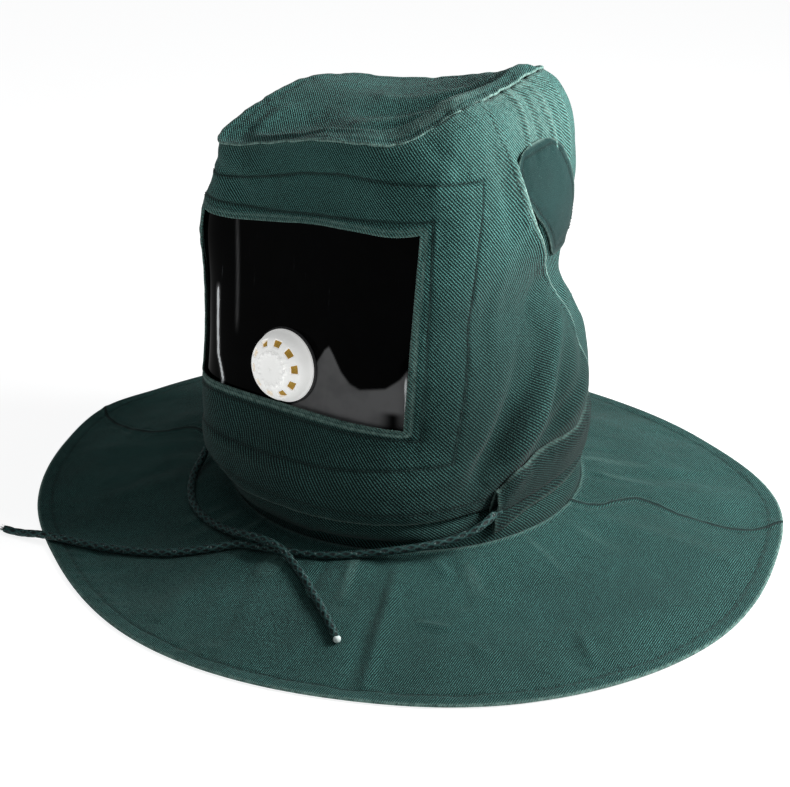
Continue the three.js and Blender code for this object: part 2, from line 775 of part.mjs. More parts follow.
// A turned piece on the valve's axis: pairs of radius and distance from the visor.
function turned(pairs) {
  const profile = pairs.map(([radius, out]) => new THREE.Vector2(radius, out));
  const geometry = new THREE.LatheGeometry(profile, valveSides);
  geometry.applyQuaternion(valveTurn);
  geometry.translate(valveSeat.x, valveSeat.y, valveSeat.z);
  return geometry;
}

// A box on a ray from the valve's axis, to cut with
function valveBox(turn, radius, out, deep, wide, high) {
  const box = new THREE.BoxGeometry(deep, high, wide);
  box.translate(radius, out, 0);
  box.rotateY(turn);
  box.applyQuaternion(valveTurn);
  box.translate(valveSeat.x, valveSeat.y, valveSeat.z);
  return solidFrom(box);
}

const valveProfile = (rows) =>
  rows.map(({ radius, depth }) => [radius * valveRadius, valveBase + depth * valveDepth]);

function valveCap() {
  let solid = solidFrom(turned(valveProfile(capProfile)));
  const top = valveBase + valveDepth;
  const ventOut = 0.74 * valveRadius;
  const ventDeep = 0.25 * valveRadius;
  const ventMiddle = valveBase + 0.98 * valveDepth;
  for (let k = 0; k < valveVents; k += 1) {
    const turn = ((k + 0.25) / valveVents) * 2 * Math.PI;
    solid = solid.subtract(valveBox(turn, ventOut, ventMiddle, ventDeep, valveVentWidth, valveDepth));
  }
  const notch = valveNotchWidth;
  for (let k = 0; k < valveNotches; k += 1) {
    const turn = (k / valveNotches) * 2 * Math.PI;
    solid = solid.subtract(valveBox(turn, valveBoss, top, notch, notch, 1.6 * valveWall));
  }
  return geometryFrom(solid);
}

function valveFilter() {
  const behind = nutTo - valveNutWall - 1;
  return turned([
    [0, behind],
    [valveNeckRadius, behind],
    [valveNeckRadius, valveBase + filterProfile[0].depth * valveDepth],
    ...valveProfile(filterProfile),
  ]);
}

function ring(inner, outer, from, to) {
  return turned([[inner, from], [outer, from], [outer, to], [inner, to], [inner, from]]);
}
const neckHole = valveNeckRadius + clearance;
const visorHole = ring(0, neckHole, -valveDepth, valveDepth);
add("visor", geometryFrom(solidFrom(visor()).subtract(solidFrom(visorHole))), clearSheet());
add("valve_cap", valveCap(), whitePlastic());
add("valve_filter", valveFilter(), ochrePlastic());
add("valve_seal", ring(neckHole, sealRadius, sealFrom, sealFrom + valveSealWall), blackRubber());
add("valve_nut", ring(neckHole, nutRadius, nutTo - valveNutWall, nutTo), whitePlastic());

// Neck band: the drawcord's channel round the back, open at both front ends
const bandHollow = cordDiameter + 2 * cordEase;
const bandInside = upperLayer + 2 * lapEase + clearance;

// Height of the band's lower edge, which hangs down at its front ends.
function bandBottom(angle) {
  const fromRight = turnBetween(bandMouthRight, angle) / bandDipTurn;
  const fromLeft = turnBetween(bandMouthLeft, angle) / bandDipTurn;
  return bandLevel - bandDip * (Math.exp(-fromRight * fromRight) + Math.exp(-fromLeft * fromLeft));
}

function neckBand() {
  const depth = bandHollow + 2 * bandWall;
  const stations = steps(bandMouthRight, fullTurn + bandMouthLeft, 32);
  const loop = (angle, inset) => {
    const low = (bandBottom(angle) + inset) / hoodHeight;
    const high = (bandLevel + bandHeight - inset) / hoodHeight;
    const inside = bandInside + inset;
    const outside = bandInside + depth - inset;
    const rounded = mix(inside, outside, 0.7);
    const round = (outside - rounded) / hoodHeight;
    return [
      wallPoint(angle, low, inside),
      wallPoint(angle, low, rounded),
      wallPoint(angle, low + round, outside),
      wallPoint(angle, mix(low, high, 0.5), outside),
      wallPoint(angle, high - round, outside),
      wallPoint(angle, high, rounded),
      wallPoint(angle, high, inside),
      wallPoint(angle, mix(low, high, 0.5), inside),
    ];
  };
  return sleeveSolid(stations, (angle) => loop(angle, 0), (angle) => loop(angle, bandWall));
}
add("neck_band", neckBand(), cloth());

// Drawcord: the stretch in the channel and the two free ends
function cordTube(points, count) {
  const path = new THREE.CatmullRomCurve3(points, false, "centripetal");
  const section = new THREE.Shape();
  for (let k = 0; k < cordSides; k += 1) {
    const turn = (k / cordSides) * 2 * Math.PI;
    const x = (cordDiameter / 2) * Math.cos(turn);
    const y = (cordDiameter / 2) * Math.sin(turn);
    if (k === 0) section.moveTo(x, y);
    else section.lineTo(x, y);
  }
  return new THREE.ExtrudeGeometry(section, { steps: count, extrudePath: path });
}

function channelPoint(angle) {
  const share = (bandBottom(angle) + bandLevel + bandHeight) / 2 / hoodHeight;
  return wallPoint(angle, share, bandInside + bandWall + bandHollow / 2);
}
const cordInset = turnOf(clearance);
const cordAngles = steps(bandMouthRight + cordInset, fullTurn + bandMouthLeft - cordInset, 32);
const freeEnd = (rows) => rows.map(([x, y, z]) => new THREE.Vector3(x, y, z));
add("drawcord_back", cordTube(cordAngles.map(channelPoint), 26), braid());
add("drawcord_right", cordTube(freeEnd(cordRight), 31), braid());
add("drawcord_left", cordTube(freeEnd(cordLeft), 23), braid());

// The origin is under the middle of the cape's outline.
const outline = new THREE.Box3();
for (const mesh of hood.children.filter((child) => child.name.startsWith("cape"))) {
  outline.expandByObject(mesh);
}
const middle = outline.getCenter(new THREE.Vector3());
hood.position.set(-middle.x, -middle.y, 0);

export default hood;
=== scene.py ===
# %% [markdown]
# # A sandblasting hood of heavy twill
#
# The real thing is sewn from stiff green cotton twill. A head part with a clear window
# stands on a round shoulder cape, and a cord runs through a channel round the neck.
# Every cloth here is one surface: a formula of two parameters, worked out with numpy
# on a grid. The frame from the CAD model gives the size and the place of each piece.

# %% Load the frame
import bpy
import numpy as np
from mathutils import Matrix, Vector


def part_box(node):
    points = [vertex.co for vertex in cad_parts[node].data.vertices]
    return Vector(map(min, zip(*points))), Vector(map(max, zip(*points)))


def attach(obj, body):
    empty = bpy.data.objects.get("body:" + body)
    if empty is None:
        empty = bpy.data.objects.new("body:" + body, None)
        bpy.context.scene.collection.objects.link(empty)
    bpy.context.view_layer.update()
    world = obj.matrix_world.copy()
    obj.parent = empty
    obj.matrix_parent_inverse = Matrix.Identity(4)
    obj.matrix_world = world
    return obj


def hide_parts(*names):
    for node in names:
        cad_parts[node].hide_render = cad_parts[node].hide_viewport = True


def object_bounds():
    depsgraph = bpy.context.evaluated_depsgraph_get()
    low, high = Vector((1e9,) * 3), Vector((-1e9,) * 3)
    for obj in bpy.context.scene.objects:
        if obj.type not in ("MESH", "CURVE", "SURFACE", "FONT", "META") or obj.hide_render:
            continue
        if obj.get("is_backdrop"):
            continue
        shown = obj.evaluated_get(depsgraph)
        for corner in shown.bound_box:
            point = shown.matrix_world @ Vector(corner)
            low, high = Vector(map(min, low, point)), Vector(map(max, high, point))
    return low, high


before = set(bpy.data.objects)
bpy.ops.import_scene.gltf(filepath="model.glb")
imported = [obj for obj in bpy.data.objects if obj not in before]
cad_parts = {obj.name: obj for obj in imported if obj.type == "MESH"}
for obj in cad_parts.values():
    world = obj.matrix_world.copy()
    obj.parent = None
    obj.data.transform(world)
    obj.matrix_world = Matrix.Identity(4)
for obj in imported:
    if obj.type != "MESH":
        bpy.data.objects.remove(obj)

cad_box = [[float(x) for x in corner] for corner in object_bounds()]
print("CAD box, in metres:", cad_box)

# %% [markdown]
# ## Camera
#
# The photograph looks down on the hood at 25 degrees, 36 degrees to its right, from
# about a metre and a half. A camera has to be as far away as the real one was, because
# distance sets how strongly near parts loom. The lens then follows from the frame.

# %% Camera
camera_side, camera_up = np.radians(36.0), np.radians(25.06)
camera_distance = 1.5603
neck = np.array([0.00607, 0.01742, 0.0])  # the middle of the neck on the rest plane
looked_at = neck + [-0.0086, -0.0062, 0.1008]

lens = bpy.data.cameras.new("camera")
lens.lens, lens.sensor_width, lens.clip_start = 82.25, 36.0, 0.05
camera = bpy.data.objects.new("camera", lens)
bpy.context.scene.collection.objects.link(camera)
bpy.context.scene.camera = camera
towards = np.array([np.sin(camera_side) * np.cos(camera_up),
                    -np.cos(camera_side) * np.cos(camera_up), np.sin(camera_up)])
camera.location = looked_at + camera_distance * towards
camera.rotation_euler = (np.pi / 2 - camera_up, 0.0, camera_side)
print("camera at", np.round(camera.location, 3))

# %% [markdown]
# ## Two small tools: curves through a table, and meshes from a grid
#
# A sewn shape is easiest to describe by a few measured rows, such as how wide it is at
# each height. A smooth curve through the rows fills in the rest. A grid of points then
# becomes a mesh by joining each point to its neighbours.

# %% Curves
def mix(a, b, t):
    """Straight mix: a + (b - a) t."""
    return a + (b - a) * t


def smooth(low, high, x):
    """Rises from 0 to 1 between low and high: 3t^2 - 2t^3."""
    t = np.clip((x - low) / (high - low), 0, 1)
    return t * t * (3 - 2 * t)


def hump(x, width):
    """A bell that is 1 at x = 0: exp(-(x / width)^2)."""
    return np.exp(-(x / width) ** 2)


def table(names, rows):
    return np.rec.fromrecords([tuple(map(float, row)) for row in rows], names=names.split())


def curve(keys, values, x):
    """Cubic Hermite curve through the rows, with each slope taken from the two rows
    beside it, and flat past both ends."""
    slope = np.empty(len(values))
    slope[1:-1] = (values[2:] - values[:-2]) / (keys[2:] - keys[:-2])
    slope[0] = (values[1] - values[0]) / (keys[1] - keys[0])
    slope[-1] = (values[-1] - values[-2]) / (keys[-1] - keys[-2])
    x = np.clip(x, keys[0], keys[-1])
    i = np.clip(np.searchsorted(keys, x, side="right") - 1, 0, len(keys) - 2)
    step = keys[i + 1] - keys[i]
    t = (x - keys[i]) / step
    ends = values[i] * (1 + 2 * t) * (1 - t) ** 2 + values[i + 1] * t * t * (3 - 2 * t)
    return ends + step * (slope[i] * t * (1 - t) ** 2 + slope[i + 1] * t * t * (t - 1))


def around(rows, column, angle):
    """The same curve for a table that closes on itself after 360 degrees."""
    keys = np.concatenate([rows.angle[-2:] - 360, rows.angle, rows.angle[:2] + 360])
    values = np.concatenate([rows[column][-2:], rows[column], rows[column][:2]])
    return curve(keys, values, (np.asarray(angle, float) - rows.angle[0]) % 360 + rows.angle[0])


def turn_between(start, end):
    """Shortest way from one angle to another, in degrees."""
    return (np.asarray(end) - start + 180) % 360 - 180


def cloth_noise(u, v, cell, seed):
    """Value noise from -1 to 1: random numbers on a lattice of the given cell size,
    blended inside each cell by 6t^5 - 15t^4 + 10t^3."""
    lattice = np.random.default_rng(seed).uniform(-1, 1, (64, 64))
    x, y = np.broadcast_arrays(np.asarray(u) / cell, np.asarray(v) / cell)
    i, j = np.floor(x).astype(int), np.floor(y).astype(int)
    s, t = x - i, y - j
    s, t = s ** 3 * (s * (s * 6 - 15) + 10), t ** 3 * (t * (t * 6 - 15) + 10)
    at = lambda a, b: lattice[(i + a) % 64, (j + b) % 64]
    return mix(mix(at(0, 0), at(1, 0), s), mix(at(0, 1), at(1, 1), s), t)


def from_line(points, x, y):
    """Distance from each (x, y) to a line through the points, and how far along the
    line the nearest place is, as a share of its length."""
    points = np.asarray(points, float)
    lengths = np.hypot(*np.diff(points, axis=0).T)
    start = np.concatenate([[0], np.cumsum(lengths)[:-1]]) / lengths.sum()
    best = np.full(np.shape(x), np.inf)
    along = np.zeros(np.shape(x))
    for (x0, y0), (x1, y1), length, before in zip(points, points[1:], lengths, start):
        t = np.clip(((x - x0) * (x1 - x0) + (y - y0) * (y1 - y0)) / length ** 2, 0, 1)
        away = np.hypot(x - mix(x0, x1, t), y - mix(y0, y1, t))
        nearer = away < best
        best = np.where(nearer, away, best)
        along = np.where(nearer, before + t * length / lengths.sum(), along)
    return best, along


# %% Meshes from grids
def mesh_piece(name, points, faces, uv=None, wear_and_light=None, node=None):
    """An object from vertices and quads, smooth shaded, with a UV map called cloth in
    metres and a wear_and_light value for each vertex, which holds worn paleness, dark seams,
    painted shade and painted highlights. Points that no face uses are left out."""
    points, faces = np.asarray(points, float).reshape(-1, 3), np.asarray(faces)
    used, faces = np.unique(faces, return_inverse=True)
    faces = faces.reshape(-1, 4)
    mesh = bpy.data.meshes.new(name)
    mesh.from_pydata(points[used].tolist(), [], faces.tolist())
    mesh.polygons.foreach_set("use_smooth", np.ones(len(faces), bool))
    if uv is not None:
        corner = np.empty(len(mesh.loops), np.int32)
        mesh.loops.foreach_get("vertex_index", corner)
        layer = mesh.uv_layers.new(name="cloth")
        layer.data.foreach_set("uv", np.asarray(uv, float).reshape(-1, 2)[used][corner].ravel())
    amount = np.zeros(len(used)) if wear_and_light is None else np.ravel(wear_and_light)[used]
    mesh.attributes.new("wear_and_light", "FLOAT", "POINT").data.foreach_set("value", amount.astype(np.float32))
    mesh.update()
    piece = bpy.data.objects.new(name, mesh)
    bpy.context.scene.collection.objects.link(piece)
    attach(piece, "root")
    if node:
        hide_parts(*node.split())
    return piece


def grid_faces(rows, columns, keep=None, close=False):
    """Quads between neighbours of a grid, numbered row by row. keep leaves cells out,
    and close joins the last column to the first."""
    across = columns if close else columns - 1
    j, i = np.meshgrid(np.arange(rows - 1), np.arange(across), indexing="ij")
    if keep is not None:
        j, i = j[keep], i[keep]
    near = (i + 1) % columns
    return np.stack([j * columns + i, j * columns + near,
                     (j + 1) * columns + near, (j + 1) * columns + i], -1).reshape(-1, 4)


def thicken(piece, thickness):
    """Cloth thickness, inwards from the modelled face."""
    wall = piece.modifiers.new("thickness", "SOLIDIFY")
    wall.thickness, wall.offset, wall.use_even_offset = thickness, -1.0, False
    return piece


# %% [markdown]
# ## The cord's free ends
#
# A thin braided cord comes out of each mouth of the neck band, hangs down to the cape
# and lies on it in loose curves, one end over the other. It is laid out first, because
# its route was settled together with the solids. The points follow its middle.

# %% Cord routes
cord_diameter, cord_sides, strand_pitch = 0.0065, 28, 0.0105
cord_right = [
    [138.3, -64.1, 58.9], [137.3, -71, 58.2], [137.4, -80, 56.6], [135.5, -89, 53.8],
    [129, -99, 49.2], [118.5, -111, 45.2], [106.5, -122.5, 42.4], [93, -133, 39.5],
    [79, -142, 36.6], [64, -150.5, 33.6], [50, -160, 32.3], [36, -168, 31.2],
    [18, -175, 30.2], [-2, -180, 29.3], [-19, -183, 28.3], [-34, -187.5, 26.8],
    [-50, -199, 23.6], [-71, -213, 19.2], [-86, -220.5, 16.5], [-106, -227, 13.5],
    [-131, -233, 10.6], [-158, -238.5, 8.4], [-180, -241.5, 7.2], [-198, -246, 7],
    [-208, -248, 6.2], [-217, -250, 4.6], [-228, -253, 3.8], [-239.7, -255, 3.7],
]
cord_left = [
    [-151.1, -55.9, 54.8], [-150, -63, 54], [-151, -71, 51], [-154, -79.5, 45],
    [-155.5, -88, 38], [-153, -98, 32.6], [-145, -118, 28.2], [-131.5, -137, 26.3],
    [-114.3, -154, 25.6], [-96, -165.5, 26], [-77, -173, 26.8], [-59, -177.5, 28.6],
    [-46, -180.5, 31.4], [-33, -182.5, 34.4], [-20, -183.8, 36.5], [-8, -183.8, 37],
    [3, -183.4, 35.8], [12, -184, 32.2], [21, -186.5, 28.8], [39.5, -196, 25.9],
    [62, -210, 23.4], [84, -224, 20.1], [102, -236, 16.2], [108.5, -240.5, 14.8],
]


def cord_path(points, step=0.0007):
    """Centripetal Catmull-Rom curve: the knots are spaced by the square root of the
    distance between points, which keeps it from overshooting. It is then sampled in
    equal steps of length."""
    p = np.asarray(points, float) / 1000 + neck
    p = np.vstack([2 * p[0] - p[1], p, 2 * p[-1] - p[-2]])
    knot = np.concatenate([[0], np.cumsum(np.linalg.norm(np.diff(p, axis=0), axis=1) ** 0.5)])
    x = np.linspace(knot[1], knot[-2], 4000)[:-1]
    i = np.clip(np.searchsorted(knot, x, side="right") - 1, 1, len(p) - 3)
    lerp = lambda a, b, ka, kb: (a * (kb - x)[:, None] + b * (x - ka)[:, None]) / (kb - ka)[:, None]
    k = [knot[i + n] for n in (-1, 0, 1, 2)]
    a = [lerp(p[i + n], p[i + n + 1], k[n + 1], k[n + 2]) for n in (-1, 0, 1)]
    b = [lerp(a[0], a[1], k[0], k[2]), lerp(a[1], a[2], k[1], k[3])]
    path = np.vstack([lerp(b[0], b[1], k[1], k[2]), p[-2]])
    travelled = np.concatenate([[0], np.cumsum(np.linalg.norm(np.diff(path, axis=0), axis=1))])
    at = np.linspace(0, travelled[-1], int(travelled[-1] / step))
    return np.stack([np.interp(at, travelled, path[:, k]) for k in range(3)], 1), travelled[-1]


def along_path(path):
    """Direction, sideways and up at each point of a path that never stands upright."""
    ahead = np.gradient(path, axis=0)
    ahead /= np.linalg.norm(ahead, axis=1, keepdims=True)
    aside = np.cross(ahead, [0, 0, 1.0])
    aside /= np.linalg.norm(aside, axis=1, keepdims=True)
    return ahead, aside, np.cross(aside, ahead)


# %% Braided cords
def braid(name, points, node, melted=False):
    """A tube whose radius is that of a braid: eight strands wind each way, and at each
    place the higher of the two wins, r = R (1 + 0.09 max(cos(4t + ks), cos(4t - ks)))."""
    path, length = cord_path(points)
    ahead, aside, up = along_path(path)
    turn = np.linspace(0, 2 * np.pi, cord_sides, endpoint=False)
    run = np.linspace(0, length, len(path))[:, None]
    wind = 2 * np.pi / strand_pitch
    over, under = 4 * turn + wind * run, 4 * turn - wind * run
    relief = np.maximum(np.cos(over), np.cos(under) * 0.9)
    radius = cord_diameter / 2 * (0.93 + 0.09 * relief)
    radius = radius * (1 + 0.02 * cloth_noise(run * np.ones(cord_sides), turn, 0.02, 5))
    if melted:
        tip = np.clip((length - run) / 0.003, 0, 1)
        radius = mix(cord_diameter / 2 * 0.96, radius, smooth(0, 1, (length - run) / 0.008))
        radius = radius * np.sqrt(1 - (1 - tip) ** 2 * 0.985)
    ring = np.cos(turn)[:, None] * aside[:, None] + np.sin(turn)[:, None] * up[:, None]
    tube = path[:, None] + radius[..., None] * ring
    caps = np.stack([np.broadcast_to(end, (cord_sides, 3)) for end in (path[0], path[-1])])
    rings = np.concatenate([caps[:1], tube, caps[1:]])
    strands = np.stack(np.broadcast_arrays(turn / (2 * np.pi), np.vstack([run[:1], run, run[-1:]])), -1)
    crest = smooth(0.2, 1, relief)
    if melted:
        # the melted tip is marked for a pale colour: melted, and also a painted highlight
        crest = crest + 2 * smooth(0.004, 0.0025, length - run)
    wear_and_light = np.concatenate([crest[:1], crest, crest[-1:]])
    faces = grid_faces(len(rings), cord_sides, close=True)
    piece = mesh_piece(name, rings, faces, strands, wear_and_light, node)
    print(name, "length %.3f m" % length, "vertices", len(piece.data.vertices))
    return piece, path, length


def frayed_end(name, path, strands=34, reach=0.011):
    """Loose fibres at a cut end: thin tapered threads that start inside the cord and
    spread apart, x = d s + spread s^2, with s from 0 to 1."""
    chance = np.random.default_rng(9)
    ahead = path[-1] - path[-12]
    ahead /= np.linalg.norm(ahead)
    aside = np.cross(ahead, [0, 0, 1.0])
    up = np.cross(aside, ahead)
    turn = chance.uniform(0, 2 * np.pi, strands)
    start, spread_out = chance.uniform(0.0004, 0.0024, strands), chance.uniform(0, 0.005, strands)
    long = reach * chance.uniform(0.5, 1, strands)
    s = np.linspace(0, 1, 6)[None, :, None]
    sideways = np.cos(turn)[:, None] * aside + np.sin(turn)[:, None] * up * 0.6
    middle = (path[-1] - ahead * 0.002 + long[:, None, None] * s * ahead
              + sideways[:, None] * (start[:, None, None] + spread_out[:, None, None] * s ** 2))
    middle[..., 2] = np.maximum(middle[..., 2], 0.0008)
    ring = np.linspace(0, 2 * np.pi, 4, endpoint=False)
    radius = (0.00028 * (1.05 - s))[..., None]
    tube = middle[:, :, None] + radius * (np.cos(ring)[:, None] * aside + np.sin(ring)[:, None] * up)
    faces = grid_faces(6, 4, close=True)[None] + 24 * np.arange(strands)[:, None, None]
    wear_and_light = np.full(tube[..., 0].shape, 0.9)
    return mesh_piece(name, tube, faces.reshape(-1, 4), None, wear_and_light, None)


right_cord, right_path, right_length = braid("cord_right", cord_right, "drawcord_right")
frayed = frayed_end("cord_right_fray", right_path)
left_cord, left_path, left_length = braid("cord_left", cord_left, "drawcord_left", melted=True)

# %% [markdown]
# ## The head part: one wall that every panel follows
#
# The head part is a soft tube. At each height its plan is a rounded square, which a
# superellipse gives: |x/a|^n + |y/b|^n = 1, where n = 2 is an ellipse and more is
# squarer. Near the neck the plan turns into a circle. Large folds push the wall in and
# out. All panels are cut from this one wall, so that they fit each other.

# %% The wall
hood_width, hood_depth, hood_height = 0.280, 0.320, 0.360
neck_radius, neck_rise, neck_blend, front_hem = 0.152, 0.032, 0.006, 0.060
drift = np.array([-0.008, -0.006])
window_left, window_right, window_lean = -49.5, 41.5, 5.6
corner_at = -44.5
window_low, window_high = 0.134 / hood_height, 0.290 / hood_height
band_level, band_height = 0.047, 0.038

sections = table("height left right front back drift square corner", [
    (0.15, 0.5, 0.5, 0.485, 0.51, 0.6, 2.2, 0),
    (0.2, 0.51, 0.51, 0.485, 0.52, 1, 2.4, 0.3),
    (0.28, 0.51, 0.52, 0.44, 0.52, 1, 2.5, 0.8),
    (0.36, 0.5, 0.505, 0.39, 0.5, 1, 2.7, 2),
    (0.46, 0.475, 0.47, 0.37, 0.46, 1, 2.9, 3),
    (0.57, 0.465, 0.422, 0.355, 0.395, 1, 3, 4),
    (0.69, 0.467, 0.45, 0.343, 0.41, 1, 3.1, 4),
    (0.8, 0.455, 0.46, 0.335, 0.43, 1, 3.2, 4),
    (0.9, 0.42, 0.445, 0.33, 0.415, 1, 3.2, 5),
    (0.97, 0.395, 0.4, 0.328, 0.385, 1, 3.1, 6),
    (1, 0.385, 0.335, 0.325, 0.36, 1, 3, 6),
])
crown_seam = table("angle rise", [
    (-150, 0.958), (-120, 0.98), (-95, 0.99), (-72, 0.972), (-57, 0.95), (-45, 0.93),
    (-25, 0.957), (0, 0.99), (22, 1), (36, 1.002), (50, 1.03), (64, 1.058), (90, 1.07),
    (115, 1.08), (140, 1.06), (170, 1.006),
])
folds = table("angle height runs long wide lift", [
    (84, 0.34, 52, 0.19, 0.035, 0.024), (72, 0.35, 54, 0.17, 0.03, -0.022),
    (108, 0.33, 80, 0.12, 0.06, 0.02), (98, 0.53, 70, 0.09, 0.05, -0.012),
    (-62, 0.62, 85, 0.14, 0.045, 0.026), (-95, 0.45, -60, 0.16, 0.05, -0.02),
    (175, 0.55, 75, 0.2, 0.06, -0.02), (140, 0.42, -65, 0.17, 0.05, 0.018),
    (-140, 0.5, 60, 0.18, 0.05, 0.018),
])


def arc(angle):
    """Length round the head part that an angle spans."""
    return np.radians(angle) * hood_width / 2


def degrees_of(length):
    return np.degrees(length / (hood_width / 2))


def wall_height(angle, share):
    """Level near the neck, following the crown seam at the top:
    z = H s + (seam - H) s^2."""
    seam = hood_height * around(crown_seam, "rise", angle)
    return hood_height * share + (seam - hood_height) * share ** 2


def fold_lift(angle, share):
    """Sum of long bells, each turned the way its fold runs."""
    height, lift = hood_height * share, 0
    for fold in folds:
        across = arc(turn_between(fold.angle, angle))
        up = height - fold.height * hood_height
        c, s = np.cos(np.radians(fold.runs)), np.sin(np.radians(fold.runs))
        lift = lift + fold.lift * hood_height * (
            hump(across * c + up * s, fold.long * hood_height)
            * hump(up * c - across * s, fold.wide * hood_height))
    fade = band_level + band_height / 4
    return lift * smooth(fade, fade + band_height, height) * (1 - smooth(0.9, 1, share))


def wall_line(angle, share):
    """A point of the wall: the superellipse at this height, mixed into the neck's circle."""
    angle, share = np.broadcast_arrays(np.asarray(angle, float), np.asarray(share, float))
    s, c = np.sin(np.radians(angle)), np.cos(np.radians(angle))
    at = lambda column: curve(sections.height, sections[column], share)
    half = hood_width * np.where(s > 0, at("right"), at("left"))
    depth = hood_depth * np.where(c > 0, at("front"), at("back"))
    square = at("square") + at("corner") * hump(turn_between(corner_at, angle), 20)
    radius = ((abs(s) / half) ** square + (abs(c) / depth) ** square) ** (-1 / square)
    radius = radius + fold_lift(angle, share)
    z = wall_height(angle, share)
    rise = smooth(neck_rise + neck_blend, front_hem, z)
    x = mix(neck_radius * s, radius * s + drift[0] * at("drift"), rise)
    y = mix(-neck_radius * c, -radius * c + drift[1] * at("drift"), rise)
    return np.stack([x, y, z], -1) + neck


def wall_normal(angle, share):
    across = wall_line(angle + 0.5, share) - wall_line(angle - 0.5, share)
    up = wall_line(angle, share + 0.004) - wall_line(angle, share - 0.004)
    normal = np.cross(across, up)
    return normal / np.linalg.norm(normal, axis=-1, keepdims=True)


def wall_point(angle, share, outwards):
    """The wall moved outwards along its own normal."""
    return wall_line(angle, share) + wall_normal(angle, share) * np.asarray(outwards)[..., None]


def flat_place(angle, share):
    """Where a point of the wall lies when the cloth is unrolled, in metres."""
    return arc(angle), wall_height(angle, share)


def cloth_map(angle, share):
    return np.stack(flat_place(angle, share), -1)


def unrolled(rows):
    """A line given as (angle, share) pairs, unrolled."""
    return cloth_map(*np.asarray(rows, float).T)


# %% [markdown]
# ## Seams, creases and wear
#
# A sewn line pulls the cloth in, and the cloth puckers beside it in short soft waves.
# Both are added to the distance from the wall. The same distances say where the cloth
# is worn pale: on edges, on ridges and along the seams. On the lit folds the pale is also a painted
# highlight.

# %% Relief of sewn cloth
def sewn(distance, u, v, depth=0.0007, seed=1):
    """A groove and its puckers: -depth exp(-(d/1.3 mm)^2) + noise exp(-(d/9 mm)^2)."""
    pucker = cloth_noise(u, v, 0.006, seed) + 0.6 * cloth_noise(u, v, 0.011, seed + 1)
    return -depth * hump(distance, 0.0013) + 0.00055 * pucker * hump(distance, 0.009)


def creases(rows, u, v, place=unrolled):
    """Soft ridges (height above 0) and valleys along straight lines. A row gives both
    ends, then width and height in mm: a bell across and sqrt(1 - (2t - 1)^2) along, so
    that both ends die out."""
    lift = 0
    for x0, y0, x1, y1, width, height in rows:
        away, along = from_line(place([(x0, y0), (x1, y1)]), u, v)
        fading = np.sqrt(np.clip(1 - (2 * along - 1) ** 2, 0, 1))
        lift = lift + height * 0.001 * hump(away, width * 0.001) * fading
    return lift


def crumple(u, v, seed, size=0.001):
    """Gentle unevenness of stiff cloth, in three sizes."""
    return size * (cloth_noise(u, v, 0.045, seed) + 0.45 * cloth_noise(u, v, 0.02, seed + 1)
                   + 0.16 * cloth_noise(u, v, 0.009, seed + 2))


# %% [markdown]
# ## Front panel
#
# The front panel carries the window. Round the window a facing is sewn on behind, so
# two stitched frames show: one just outside the opening and one further out. The rear
# edge is left open over the ear, where the cloth stands off a little.

# %% Front panel
lap_ease, cloth_wall = 0.001, 0.0016
upper_layer = lap_ease + cloth_wall
hem_share = front_hem / hood_height
top_share = 1 - 0.0022 / hood_height
ear_low, ear_high = 0.228 / hood_height, 0.325 / hood_height
panel_edge = table("height angle", [
    (0.15, 122), (0.5, 121), (0.58, 114), (0.66, 102), (0.78, 87), (0.88, 79), (1, 75)])

hem_stitch, edge_stitch = 0.009, 0.006  # how far the stitches lie from hem and free edge
outer_frame = [
    (-64, 0.26), (-66, 0.5), (-64, 0.9), (-45, 0.908), (-7, 0.92), (14, 0.924), (31, 0.924),
    (65, 0.877), (63, 0.701), (61, 0.525), (53, 0.298), (32, 0.286), (16, 0.273), (-5, 0.265),
    (-30, 0.26), (-64, 0.26)]
inner_frame = [(-54, 0.345), (-54, 0.827), (48.2, 0.829), (47, 0.592), (44, 0.35), (-54, 0.345)]
front_creases = [
    (116, 0.52, 64, 0.225, 8, 5.0), (101, 0.5, 58, 0.25, 8, -5.0), (126, 0.44, 84, 0.24, 8, -3.5),
    (106, 0.3, 78, 0.2, 6, 1.4), (70, 0.66, 64, 0.4, 7, -0.7), (78, 0.72, 72, 0.46, 8, 0.9),
    (74, 0.93, 87, 0.74, 4, 2.2), (68, 0.95, 80, 0.72, 6, -1.6), (60, 1.0, 48, 0.86, 9, 1.5),
    (-30, 0.29, 30, 0.31, 8, -1.6), (-50, 0.25, 10, 0.225, 7, 1.8), (20, 0.23, 60, 0.275, 7, 1.4),
    (-52, 0.95, -30, 0.86, 8, -2), (20, 0.98, 34, 0.87, 7, 1.2), (44, 1.0, 60, 0.9, 7, -1.3),
    (98, 0.62, 92, 0.5, 5, 0.8), (-70, 0.8, -66, 0.45, 8, 1.5),
    (-80, 0.6, -74, 0.3, 7, -1.8), (-95, 0.7, -80, 0.4, 7, 1.6),
]


def edge_angle(share):
    return curve(panel_edge.height, panel_edge.angle, share)


def window_end(share):
    up = np.clip((share - window_low) / (window_high - window_low), 0, 1)
    return window_right + window_lean * (up - 0.5)


def pucker(angle, share):
    """How far the free edge stands off over the ear, as in the solid under it."""
    inset = (edge_angle(share) - abs(angle)) / np.degrees(0.04 / (hood_width / 2))
    reach = (ear_high - ear_low) * 0.62
    along = np.clip(1 - ((share - (ear_low + ear_high) / 2) / reach) ** 4, 0, 1)
    return 0.006 * along * np.clip(1 - inset, 0, 1) ** 2


def window_gap(angle, share):
    """Distance outside the window's edge, unrolled, negative inside it."""
    side = np.maximum(window_left - angle, angle - window_end(share))
    side = arc(side)
    upright = np.maximum(window_low - share, share - window_high) * hood_height
    return np.where((side > 0) & (upright > 0), np.hypot(side, upright), np.maximum(side, upright))


